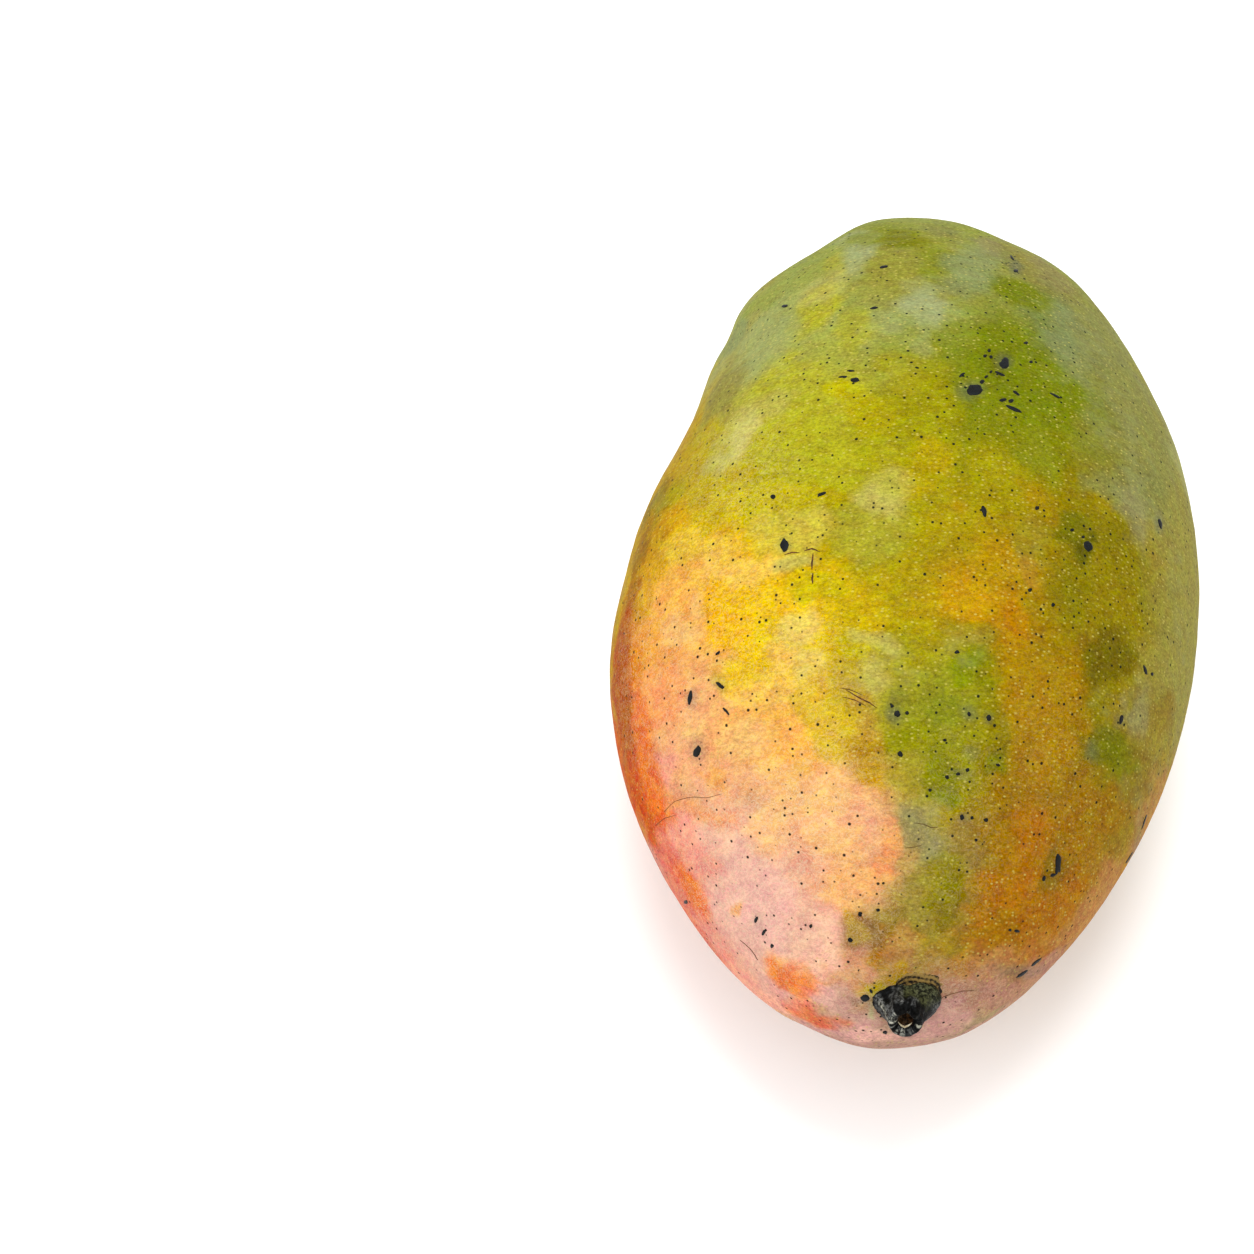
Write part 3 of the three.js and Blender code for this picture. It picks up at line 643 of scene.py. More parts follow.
def skin_point(polar, around):
    """The skin's formula, in the frame that the formula itself is centred in."""
    out, along = np.sin(polar), -np.cos(polar)
    across, up = np.cos(around), np.sin(around)
    near_stem = ((1 - along) / 2) ** 2
    near_apex = ((1 + along) / 2) ** 2
    left, right = station_curve(LEFT, polar), station_curve(RIGHT, polar)
    belly, top = station_curve(BELLY, polar), station_curve(TOP, polar)
    radius = out * (1 + FULLNESS * np.sin(2 * around) ** 2)
    x = radius * across * (left + (right - left) * (1 + across) / 2)
    z = radius * up * (belly + (top - belly) * (1 + up) / 2)
    y = FRUIT_LENGTH / 2 * along + near_stem * (STEM_SLOPE[0] * x + STEM_SLOPE[1] * z)
    from_place = (np.degrees(polar) - BEAK_PLACE) / BEAK_REACH
    from_left = (np.degrees(around) % 360 - 180) / BEAK_REACH_AROUND
    beak = smoothstep(0, BEAK_FADE, out) * BEAK_HEIGHT * np.exp(-(from_place**2) - from_left**2)
    dimple = DIMPLE_DEPTH * np.exp(-((np.degrees(polar) / DIMPLE_REACH) ** 2))
    return np.stack(
        (
            x + BEAK_OUTWARD * beak * across + STEM_OFFSET[0] * near_stem + APEX_OFFSET_X * near_apex,
            y + BEAK_LENGTHWAYS * beak * along + dimple,
            z + BEAK_OUTWARD * beak * up + STEM_OFFSET[1] * near_stem,
        ),
        axis=-1,
    )


def skin_grid():
    """Every vertex of the skin, ring by ring, with the poles first and last."""
    polar = np.linspace(0, math.pi, RINGS + 1)[1:-1]
    around = np.linspace(0, 2 * math.pi, SIDES, endpoint=False)
    polar, around = (a.ravel() for a in np.meshgrid(polar, around, indexing="ij"))
    polar = np.concatenate(([0.0], polar, [math.pi]))
    around = np.concatenate(([0.0], around, [0.0]))
    return skin_point(polar, around)


def skin_faces():
    """Quads between the rings, and a fan of triangles at each pole. They face out."""
    side = np.arange(SIDES)
    following = (side + 1) % SIDES
    first = 1 + SIDES * np.arange(RINGS - 2)[:, None]
    corners = (first + side, first + SIDES + side, first + SIDES + following, first + following)
    quads = np.stack(corners, axis=-1).reshape(-1, 4).tolist()
    last_ring = 1 + SIDES * (RINGS - 2)
    apex = last_ring + SIDES
    stem_fan = [(0, 1 + a, 1 + b) for a, b in zip(side, following)]
    apex_fan = [(apex, last_ring + b, last_ring + a) for a, b in zip(side, following)]
    return quads + stem_fan + apex_fan


def normals_of(points, faces):
    """Unit normals at the vertices of a surface of triangles and quads."""
    total = np.zeros_like(points)
    for count in (3, 4):
        some = np.array([f for f in faces if len(f) == count], int).reshape(-1, count)
        ends = points[some[:, 2]] - points[some[:, 0]], points[some[:, -1]] - points[some[:, 1]]
        normal = np.cross(ends[0], ends[1])
        for corner in range(count):
            np.add.at(total, some[:, corner], normal)
    return total / np.linalg.norm(total, axis=1, keepdims=True)


# The formula's frame is moved so that the skin's box has the solid's middle and lies on the floor.
bare = skin_grid()
solid_low, solid_high = (np.array(corner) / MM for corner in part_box("fruit"))
OFFSET = (solid_low + solid_high - bare.min(0) - bare.max(0)) / 2
OFFSET[2] = solid_high[2] - bare[:, 2].max()
VIEW_MIDDLE = OFFSET + np.array((0.0, -MIDDLE_TOWARDS_STEM, 0.0))


# Camera and pixels of the photograph

forward = np.array((0, math.cos(CAMERA_ELEVATION), -math.sin(CAMERA_ELEVATION)))
rightward = np.array((1.0, 0.0, 0.0))
upward = np.cross(rightward, forward)
offset_pixels = np.array(FRUIT_PIXEL) - FRAME_PIXELS / 2
EYE = (
    VIEW_MIDDLE
    - forward * CAMERA_DISTANCE
    - rightward * offset_pixels[0] * MM_PER_PIXEL
    + upward * offset_pixels[1] * MM_PER_PIXEL
)


def ray_through(x, y):
    """The direction in which the camera sees a pixel of the photograph."""
    side = (x - FRAME_PIXELS / 2) * MM_PER_PIXEL
    rise = (FRAME_PIXELS / 2 - y) * MM_PER_PIXEL
    return unit(forward * CAMERA_DISTANCE + rightward * side + upward * rise)


def pixels_of(points):
    """Where the camera sees points, as pixels of the photograph."""
    offset = points - EYE
    pixel_size = MM_PER_PIXEL * (offset @ forward) / CAMERA_DISTANCE
    from_middle = np.stack((offset @ rightward, -(offset @ upward)), axis=1)
    return FRAME_PIXELS / 2 + from_middle / pixel_size[:, None]


def make_camera():
    data = bpy.data.cameras.new("camera")
    data.sensor_width = SENSOR
    data.lens = SENSOR * CAMERA_DISTANCE / (FRAME_PIXELS * MM_PER_PIXEL)
    data.clip_start, data.clip_end = CLIP_START, CLIP_END
    camera = bpy.data.objects.new("camera", data)
    camera.location = EYE * MM
    camera.rotation_mode = "QUATERNION"
    camera.rotation_quaternion = Vector(forward).to_track_quat("-Z", "Y")
    bpy.context.scene.collection.objects.link(camera)
    bpy.context.scene.camera = camera


# Making objects


def make_object(name, points, faces, material):
    mesh = bpy.data.meshes.new(name)
    mesh.from_pydata((np.asarray(points) * MM).tolist(), [], [tuple(map(int, f)) for f in faces])
    mesh.update()
    mesh.shade_smooth()
    mesh.materials.append(material)
    made = bpy.data.objects.new(name, mesh)
    bpy.context.scene.collection.objects.link(made)
    return made


def add_piece(name, mesh, material, slot, *replaced):
    """A piece of the object from its points and faces. It rides on the one body there is."""
    piece = make_object(name, *mesh, material)
    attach(piece, "root")
    if replaced:
        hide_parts(*replaced)
    return piece


def store(made, name, values):
    """Keeps a number for each vertex, or a colour where the name says so, for the material to read."""
    values = np.asarray(values, np.float32)
    if name.endswith("colour"):
        opaque = np.concatenate((values, np.ones((len(values), 1), np.float32)), axis=1)
        attribute = made.data.color_attributes.new(name, "FLOAT_COLOR", "POINT")
        attribute.data.foreach_set("color", opaque.ravel())
    else:
        made.data.attributes.new(name, "FLOAT", "POINT").data.foreach_set("value", values)


def ring_faces(rings, sides):
    """Quads between closed rings of points that follow each other."""
    faces = []
    for row in range(rings - 1):
        for k in range(sides):
            after = (k + 1) % sides
            base = row * sides
            faces.append((base + k, base + after, base + sides + after, base + sides + k))
    return faces


def joined(parts):
    """Several meshes as one."""
    points, faces = [], []
    for some_points, some_faces in parts:
        faces += [tuple(k + len(points) for k in face) for face in some_faces]
        points += list(some_points)
    return points, faces


class Nodes:
    """Short ways to build a node material. Sizes are in millimetres."""

    def __init__(self, name):
        self.material = bpy.data.materials.new(name)
        self.material.use_nodes = True
        self.tree = self.material.node_tree
        self.shader = self.tree.nodes["Principled BSDF"]

    def add(self, kind, inputs=None, **settings):
        node = self.tree.nodes.new(kind)
        for key, value in settings.items():
            setattr(node, key, value)
        for key, value in (inputs or {}).items():
            self.join(value, node.inputs[key])
        return node

    def join(self, value, socket):
        if isinstance(value, bpy.types.NodeSocket):
            self.tree.links.new(value, socket)
        elif isinstance(value, bpy.types.Node):
            self.tree.links.new(value.outputs[0], socket)
        else:
            socket.default_value = value

    def read(self, name):
        """What store keeps under this name."""
        node = self.add("ShaderNodeAttribute", attribute_name=name)
        return node.outputs["Color" if name.endswith("colour") else "Fac"]

    def place(self):
        return self.add("ShaderNodeTexCoord").outputs["Object"]

    def scaled(self, vector, factors):
        return self.add("ShaderNodeVectorMath", {0: vector, 1: factors}, operation="MULTIPLY").outputs[0]

    def in_steps(self, vector, size):
        """A place counted in steps of the given size."""
        return self.scaled(vector, (1 / (size * MM),) * 3)

    def maths(self, operation, *values):
        return self.add("ShaderNodeMath", dict(enumerate(values)), operation=operation).outputs[0]

    def ramp(self, value, low, high, to_low=0.0, to_high=1.0):
        """value from low to high, as a smooth step from to_low to to_high."""
        inputs = {"Value": value, "From Min": low, "From Max": high, "To Min": to_low, "To Max": to_high}
        return self.add("ShaderNodeMapRange", inputs, interpolation_type="SMOOTHSTEP").outputs[0]

    def texture(self, vector, size, detail=2.0, rough=0.5, distortion=0.0):
        """Noise with features of the given size."""
        inputs = {
            "Vector": self.in_steps(vector, size),
            "Scale": 1.0,
            "Detail": detail,
            "Roughness": rough,
            "Distortion": distortion,
        }
        return self.add("ShaderNodeTexNoise", inputs).outputs["Fac"]

    def cells(self, vector, size):
        """Distance from the nearest of many scattered points this far apart, and two values for each."""
        node = self.add("ShaderNodeTexVoronoi", {"Vector": self.in_steps(vector, size), "Scale": 1.0})
        away = self.maths("MULTIPLY", node.outputs["Distance"], size)
        kind = self.add("ShaderNodeSeparateColor", {"Color": node.outputs["Color"]})
        return away, kind.outputs[0], kind.outputs[1]

    def strokes(self, vector, size, distortion, width):
        """Thin curling lines, this far apart."""
        wave = self.texture(vector, size, 1.0, 0.5, distortion)
        return self.ramp(self.maths("ABSOLUTE", self.maths("SUBTRACT", wave, 0.5)), width, 0.2 * width)

    def mix(self, amount, under, over):
        node = self.add("ShaderNodeMix", data_type="RGBA")
        self.join(amount, node.inputs["Factor"])
        self.join(under, node.inputs["A"])
        self.join(over, node.inputs["B"])
        return node.outputs["Result"]

    def shaded(self, colour, value, hue=0.5, saturation=1.0):
        """A colour with its value multiplied."""
        inputs = {"Hue": hue, "Saturation": saturation, "Value": value, "Color": colour}
        return self.add("ShaderNodeHueSaturation", inputs).outputs[0]

    def bump(self, height, strength, depth):
        return self.add("ShaderNodeBump", {"Strength": strength, "Distance": depth * MM, "Height": height})

    def set(self, **sockets):
        for name, value in sockets.items():
            self.join(value, self.shader.inputs[name.replace("_", " ")])


# The floor and the light


def make_stage():
    paint = Nodes("pale_floor")
    mottle = paint.texture(paint.place(), FLOOR_MOTTLE)
    dark, pale = ((*tone(name), 1) for name in ("floor", "pale_floor"))
    paint.set(Base_Color=paint.mix(mottle, dark, pale), Roughness=0.7)
    corners = [(x * FLOOR_HALF, y * FLOOR_HALF, 0) for x, y in ((-1, -1), (1, -1), (1, 1), (-1, 1))]
    make_object("floor", corners, [(0, 1, 2, 3)], paint.material)


def make_lamp(name, toward, distance, size, strength, colour):
    """A round soft lamp. strength is how bright it makes a white card facing it at the fruit."""
    data = bpy.data.lights.new(name, "AREA")
    data.shape = "DISK"
    data.size = size
    data.energy = strength * math.pi**2 * distance**2
    data.color = colour
    lamp = bpy.data.objects.new(name, data)
    direction = Vector(unit(toward))
    lamp.location = Vector(VIEW_MIDDLE * MM) + direction * distance
    lamp.rotation_mode = "QUATERNION"
    lamp.rotation_quaternion = direction.to_track_quat("Z", "Y")
    bpy.context.scene.collection.objects.link(lamp)


def make_light():
    """A pale sky that is dimmer towards the horizon, a soft lamp overhead and a weaker one on the left."""
    world = bpy.data.worlds.new("studio")
    bpy.context.scene.world = world
    world.use_nodes = True
    tree = world.node_tree
    direction = tree.nodes.new("ShaderNodeTexCoord").outputs["Generated"]
    split = tree.nodes.new("ShaderNodeSeparateXYZ")
    grade = tree.nodes.new("ShaderNodeMapRange")
    grade.inputs["To Min"].default_value = SKY_AT_HORIZON
    grade.inputs["To Max"].default_value = SKY_OVERHEAD
    background = tree.nodes["Background"]
    background.inputs["Color"].default_value = (1.0, 1.0, 1.0, 1.0)
    tree.links.new(direction, split.inputs[0])
    tree.links.new(split.outputs["Z"], grade.inputs["Value"])
    tree.links.new(grade.outputs["Result"], background.inputs["Strength"])
    for lamp in LAMPS:
        make_lamp(*lamp)
    bpy.context.scene.view_settings.view_transform = "Standard"


# The skin


def stub_directions():
    """The stub's axis, and two directions across it: to the left and up."""
    axis = unit(STUB_LEAN)
    side = unit(np.cross(axis, (0, 0, 1)))
    return axis, side, np.cross(side, axis)


def relief(points, faces):
    """The skin with its low lumps, the wrinkles that run to the stalk, and the swells of its outline."""
    axis, side, over = stub_directions()
    offset = points - (skin_point(0.0, 0.0) + OFFSET)
    turn = np.arctan2(offset @ over, offset @ side)
    away = np.linalg.norm(offset - np.outer(offset @ axis, axis), axis=1)
    bends, breaks = clouds(points, 5.0, 61), clouds(points, 2.5, 62, 2)
    rays = np.sin(WRINKLES * turn + 3 * bends) * (0.6 + 0.4 * breaks)
    near_stalk = smoothstep(*WRINKLES_BEGIN, away) * smoothstep(*WRINKLES_END, away)
    height = sum(lump * clouds(points, size, seed, 2) for lump, size, seed in LUMPS)
    height += WRINKLE_HEIGHT * near_stalk * rays
    normals = normals_of(points, faces)
    sight = (EYE - points) / np.linalg.norm(EYE - points, axis=1, keepdims=True)
    edge_on = smoothstep(0.8, 0.2, np.abs(np.sum(normals * sight, axis=1)))
    pixels = pixels_of(points)
    for x, y, reach, swell in SWELLS:
        away = np.linalg.norm(pixels - (x, y), axis=1) / reach
        height += swell * edge_on * np.exp(-(away**2))
    height *= smoothstep(*RELIEF_GROWS, points[:, 2])
    return points + normals * height[:, None]


class Skin:
    """The fruit's vertices, with what is painted on each of them."""

    def __init__(self, points, faces):
        self.points = points
        self.faces = faces
        self.tree = BVHTree.FromPolygons(points.tolist(), faces, all_triangles=False)
        self.warp = sum(
            far * np.stack([clouds(points, size, seed + k, octaves) for k in range(3)], axis=1)
            for far, size, seed, octaves in WARPS
        )
        self.ragged = clouds(points, *FRINGE)
        self.colour = np.tile(tone("amber"), (len(points), 1))

    def seen(self, x, y):
        """Where the camera sees the skin at a pixel, or its edge if that is off it, and the normal."""
        middle = np.array(FRUIT_PIXEL)
        for share in EDGE_SEARCH:
            pixel = middle + (np.array((x, y)) - middle) * share
            place, normal, _, _ = self.tree.ray_cast(Vector(EYE), Vector(ray_through(*pixel)))
            if place is not None:
                return np.array(place), np.array(normal)
        raise ValueError(f"pixel {x}, {y} is far off the fruit")

    def seen_span(self, x, y, across, down, turn=0, warp=1.0):
        """How far each vertex is from a spot seen in the photograph, in shares of its size in pixels."""
        centre, normal = self.seen(x, y)
        sight = unit(EYE - centre)
        facing = max(float(normal @ sight), LEAST_FACING)
        level = unit(np.cross(upward, sight))
        rise = np.cross(sight, level)
        tilt = normal - sight * (normal @ sight)
        tilt = unit(tilt) if np.linalg.norm(tilt) > 0.05 else rise
        slope = unit(tilt - normal * (normal @ tilt))
        aside = unit(np.cross(slope, normal))
        offset = self.points + self.warp * warp - centre
        flat = np.outer(offset @ aside, aside) + np.outer(offset @ slope, facing * tilt)
        per_pixel = MM_PER_PIXEL * np.linalg.norm(EYE - centre) / CAMERA_DISTANCE
        sideways, downwards = flat @ level / per_pixel, -(flat @ rise) / per_pixel
        angle = math.radians(turn)
        long_way = sideways * math.cos(angle) + downwards * math.sin(angle)
        short_way = downwards * math.cos(angle) - sideways * math.sin(angle)
        depth = offset @ normal / SPOT_DEPTH
        return np.sqrt((long_way / across) ** 2 + (short_way / down) ** 2 + depth**2)

    def far_span(self, polar_degrees, around_degrees, along, across):
        """The same for a spot given by its angles, in shares of its size in millimetres."""
        polar, around = math.radians(polar_degrees), math.radians(around_degrees)
        step = 0.01
        centre = skin_point(polar, around) + OFFSET
        lengthways = unit(skin_point(polar + step, around) + OFFSET - centre)
        crossways = unit(skin_point(polar, around + step) + OFFSET - centre)
        normal = unit(np.cross(crossways, lengthways))
        offset = self.points + self.warp - centre
        parts = (offset @ lengthways / along, offset @ crossways / across, offset @ normal / SPOT_DEPTH)
        return np.sqrt(sum(part**2 for part in parts))

    def lay(self, colour, strength, span, soft, ragged):
        """Paints a spot. soft is how soft its outline is, and ragged how far that strays."""
        amount = strength * smoothstep(1 + soft, 1 - soft, span + ragged * self.ragged)
        self.colour += (tone(colour) - self.colour) * amount[:, None]


def cover(spots, span, fade):
    """The strongest of some soft spots at each vertex. A spot's row is its strength and its place."""
    return np.max([strength * smoothstep(*fade, span(*place)) for strength, *place in spots], axis=0)


def build_skin():
    faces = skin_faces()
    points = bare + OFFSET
    points[:, 2] = np.maximum(points[:, 2], 0.0)
    skin = Skin(relief(points, faces), faces)
    for spots, span, edge in (
        (FAR_WASHES, skin.far_span, FAR_EDGE),
        (WASHES, skin.seen_span, WASH_EDGE),
        (PATCHES, skin.seen_span, PATCH_EDGE),
        (RIM_BLUSH_SHADE_AND_REFLECTION, skin.far_span, RIM_EDGE),
    ):
        for colour, strength, *place in spots:
            skin.lay(colour, strength, span(*place), *edge)
    for strength, *place in STAINS:
        skin.lay("slate", strength, skin.seen_span(*place, warp=STAIN_WARP), *STAIN_EDGE)
    seen_bloom = cover(BLOOM, skin.seen_span, BLOOM_FADE)
    skin.bloom = np.maximum(seen_bloom, cover(FAR_BLOOM, skin.far_span, BLOOM_FADE))
    dotted = [(DOTS_MORE, *place) for place in DOTTED]
    skin.dots = DOTS_EVERYWHERE + cover(dotted, skin.seen_span, SOFT_FADE)
    skin.fibres = np.maximum(FIBRES_EVERYWHERE, cover(FIBRES_AND_SHEEN, skin.seen_span, SOFT_FADE))
    return skin


def ground_colour(paint, squeezed, mottle, grain):
    """The colour kept at the vertices, mottled and grained, with a fine curling hatch."""
    patchy = paint.texture(squeezed, PATCHY_SIZE, 3.0, 0.6)
    calm = paint.ramp(paint.read("fibres"), 0.08, 0.4, 1.0, 0.4)
    hatch = paint.strokes(squeezed, HATCH_SIZE, 2.0, 0.08)
    grained = paint.maths("MULTIPLY", paint.ramp(grain, 0.25, 0.75, -0.24, 0.24), calm)
    value = paint.maths("ADD", grained, paint.ramp(mottle, 0.2, 0.8, 0.84, 1.04))
    value = paint.maths("MULTIPLY_ADD", hatch, 0.16, value)
    value = paint.maths("ADD", value, paint.ramp(patchy, 0.25, 0.75, -0.09, 0.05))
    hue = paint.ramp(patchy, 0.25, 0.75, 0.486, 0.514)
    return paint.shaded(paint.read("skin_colour"), value, hue, 1.06)


def wax_film(paint, squeezed):
    """How much waxy bloom lies on the skin."""
    cloudy = paint.ramp(paint.texture(squeezed, FILM_SIZE, 4.0, 0.6), 0, 1, -0.6, 0.6)
    return paint.ramp(paint.maths("ADD", paint.read("bloom"), cloudy), 0.5, 1.1, 0.0, 0.15)


def pale_specks(paint, squeezed):
    """Small pale specks of different strengths, fewer where fibres and painted sheen show."""
    away, kind, _ = paint.cells(squeezed, SPECKS_APART)
    specks = paint.maths("MULTIPLY", paint.ramp(away, 0.3, 0.1), paint.ramp(kind, 0.3, 1.0, 0.05, 0.65))
    return paint.maths("MULTIPLY", specks, paint.ramp(paint.read("fibres"), 0.35, 0.1, 0.3, 1.0))


def dark_dots(paint, place):
    """Dark pores of different sizes. The attribute is the share of them that shows."""
    away, kind, other = paint.cells(place, DOTS_APART)
    size = paint.maths("MULTIPLY_ADD", other, DOT_GROWTH, SMALLEST_DOT)
    dots = paint.ramp(paint.maths("DIVIDE", away, size), 1.3, 0.7)
    dots = paint.maths("MULTIPLY", dots, paint.ramp(other, 0.0, 0.7, 0.5, 0.95))
    return paint.maths("MULTIPLY", dots, paint.maths("LESS_THAN", kind, paint.read("dots")))


def skin_material():
    """Paint from the vertices, broken up with mottling, bloom, pale fibres that are partly a painted sheen,
    pale specks and dark dots.
    """
    paint = Nodes("mango_skin")
    place = paint.place()
    squeezed = paint.scaled(place, SQUEEZE)
    mottle = paint.texture(place, MOTTLE_SIZE, 3.0, 0.6)
    grain = paint.texture(squeezed, GRAIN_SIZE, 2.0, 0.7)
    dots = dark_dots(paint, place)
    # Pale curling strokes, partly fibres in the skin and partly a painted sheen
    fibres = paint.maths("MULTIPLY", paint.strokes(place, FIBRE_SIZE, 3.0, 0.075), paint.read("fibres"))
    colour = ground_colour(paint, squeezed, mottle, grain)
    for amount, name in (
        (wax_film(paint, squeezed), "wax"),
        (fibres, "fibre"),
        (pale_specks(paint, squeezed), "speck"),
        (dots, "dot"),
    ):
        colour = paint.mix(amount, colour, as_painted(name))
    height = paint.maths("MULTIPLY_ADD", grain, 0.5, paint.maths("MULTIPLY", dots, -1.0))
    paint.set(
        Base_Color=colour,
        Roughness=paint.ramp(mottle, 0.2, 0.8, 0.42, 0.56),
        Specular_IOR_Level=0.005,
        Normal=paint.bump(height, 0.7, 0.06),
    )
    return paint.material


# Marks on the skin


def make_flake(skin, seed, x, y, across, down, turn=0):
    """A thin scab on the skin at a pixel, with an irregular rim. Returns its points and faces."""
    angle = np.linspace(0, 2 * math.pi, FLAKE_SIDES, endpoint=False)
    rim = np.stack((np.cos(angle), np.sin(angle), np.zeros(FLAKE_SIDES)), axis=1)
    reach = 1 + FLAKE_RAGGED * clouds(rim * 2 + seed * 3.1, 1.4, seed)
    turned = math.radians(turn)
    points = []
    for share, lift in FLAKE_RINGS:
        for theta, far in zip(angle, reach):
            long_way = share * far * across * math.cos(theta)
            short_way = share * far * down * math.sin(theta)
            dx = long_way * math.cos(turned) - short_way * math.sin(turned)
            dy = long_way * math.sin(turned) + short_way * math.cos(turned)
            place, normal = skin.seen(x + dx, y + dy)
            points.append(place + normal * lift)
    middle, normal = skin.seen(x, y)
    points += [middle + normal * 1.1 * FLAKE_HEIGHT, middle - normal * FLAKE_ROOT]
    rings = len(FLAKE_RINGS)
    faces = ring_faces(rings, FLAKE_SIDES)
    top, bottom = rings * FLAKE_SIDES, rings * FLAKE_SIDES + 1
    last = (rings - 1) * FLAKE_SIDES
    faces += [(top, (k + 1) % FLAKE_SIDES, k) for k in range(FLAKE_SIDES)]
    faces += [(bottom, last + k, last + (k + 1) % FLAKE_SIDES) for k in range(FLAKE_SIDES)]
    return points, faces


def make_line_mark(skin, width, *stops):
    """A narrow raised line on the skin along pixels, pointed at both ends."""
    stops = np.array(stops, float)
    steps = CRACK_STEPS * (len(stops) - 1)
    at = np.linspace(0, len(stops) - 1, steps + 1)
    path = rounded_off(np.stack([np.interp(at, range(len(stops)), stops[:, k]) for k in (0, 1)], axis=1))
    spots = [np.stack((at * 3, at * 0 + k, at * 0), axis=1) for k in (0, 1)]
    path += CRACK_WANDER * np.stack([clouds(spots[k], 1.5, 71 + k) for k in (0, 1)], axis=1)
    along = np.gradient(path, axis=0)
    across = np.stack((-along[:, 1], along[:, 0]), axis=1) / np.linalg.norm(along, axis=1, keepdims=True)
    half = width / 2 * np.sqrt(np.sin(np.linspace(CRACK_TIP, math.pi - CRACK_TIP, steps + 1)))
    points = []
    for spot, beside, reach in zip(path, across, half):
        for shift, lift in CRACK_SECTION:
            place, normal = skin.seen(*(spot + beside * reach * shift))
            points.append(place + normal * lift)
    sides = len(CRACK_SECTION)
    ends = [tuple(range(sides))[::-1], tuple(sides * steps + k for k in range(sides))]
    return points, ends + ring_faces(steps + 1, sides)


def rough_material(name, dark, pale, roughness):
    """A dull, grainy finish between two colours."""
    paint = Nodes(name)
    grain = paint.texture(paint.place(), 0.5, 3.0, 0.6)
    paint.set(
        Base_Color=paint.mix(paint.ramp(grain, 0.35, 0.75), as_painted(dark), as_painted(pale)),
        Roughness=paint.ramp(grain, 0.2, 0.8, roughness, roughness + 0.2),
        Specular_IOR_Level=0.15,
        Normal=paint.bump(grain, 0.6, 0.08),
    )
    return paint.material


# The stalk's stub


def stub_frame(skin):
    """The stub's foot on the skin, with its directions."""
    return (skin.seen(*STUB_PIXEL)[0], *stub_directions())


def flattened(turn):
    """The share of the stub's radius that is left at an angle around it, low on its upper side."""
    return 1 - STUB_FLATNESS * np.maximum(np.sin(turn), 0)


def stub_grid():
    """Radius, height and turn of the stub's vertices, ring by ring, with the profile rounded off."""
    profile = np.array(STUB_PROFILE)
    last = len(profile) - 1
    at = np.linspace(0, last, STUB_STEPS * last + 1)
    radius, height = (rounded_off(np.interp(at, range(last + 1), profile[:, k]))[1:-1] for k in (0, 1))
    turn = np.linspace(0, 2 * math.pi, STUB_SIDES, endpoint=False)
    radius, turns = np.meshgrid(radius, turn, indexing="ij")
    return radius, np.repeat(height[:, None], STUB_SIDES, axis=1), turns


def stub_hollows(radius, height, turns):
    """How deep the hollows between the flutes are."""
    hollow = np.zeros_like(radius)
    for turned, middle, reach, spread, depth in STUB_HOLLOWS:
        away = ((np.degrees(turns) - turned) / reach) ** 2 + ((height - middle) / spread) ** 2
        hollow += depth * np.exp(-away) * smoothstep(1.4, 2.2, radius)
    return hollow


def paint_bark(radius, height, turns, ribs, knots, hollow):
    """Charred bark, grey on its ribs, partly as a painted highlight, with painted shade in its hollows and
    on its right flank, mossy at its upper right, with a painted highlight on its left edge and the crest of
    its end, and brown in its pit.
    """
    # Painted shade on the right flank, away from the lamp on the left.
    shaded_flank = smoothstep(0.7, 0.97, np.cos(turns - math.radians(SHADED_FLANK_TURN)))
    shaded_flank *= smoothstep(1.5, 3.0, height)
    # Grey rises on the ribs and knots, partly the bark's own grey and partly a painted highlight, and falls
    # in the hollows and on the right flank as painted shade.
    grey_light_and_shade = 0.4 + 0.8 * ribs + 0.3 * knots - 3.5 * hollow - 0.9 * shaded_flank
    moss = smoothstep(0.3, 0.9, np.cos(turns - math.radians(MOSS_TURN))) * smoothstep(4.2, 2.5, height)
    # A painted highlight along the stub's left edge and on the crest of its end.
    highlit_left_edge = np.exp(-((((np.degrees(turns) + 180) % 360 - 180) / 6) ** 2))
    rim = 0.5 * highlit_left_edge * smoothstep(2.0, 3.0, height) * smoothstep(-0.3, 0.3, ribs)
    rim = np.maximum(rim, 0.4 * smoothstep(6.05, 6.3, height) * smoothstep(0.1, 0.6, ribs))
    pit = smoothstep(1.3, 0.9, radius) * smoothstep(4.5, 5.0, height)
    colour = np.tile(tone("char"), (radius.size, 1))
    for name, amount in (("grey_wood", grey_light_and_shade), ("mossy_wood", moss), ("wood_highlight", rim), ("pit_brown", pit)):
        colour += (tone(name) - colour) * np.clip(amount, 0, 0.9).ravel()[:, None]
    return colour


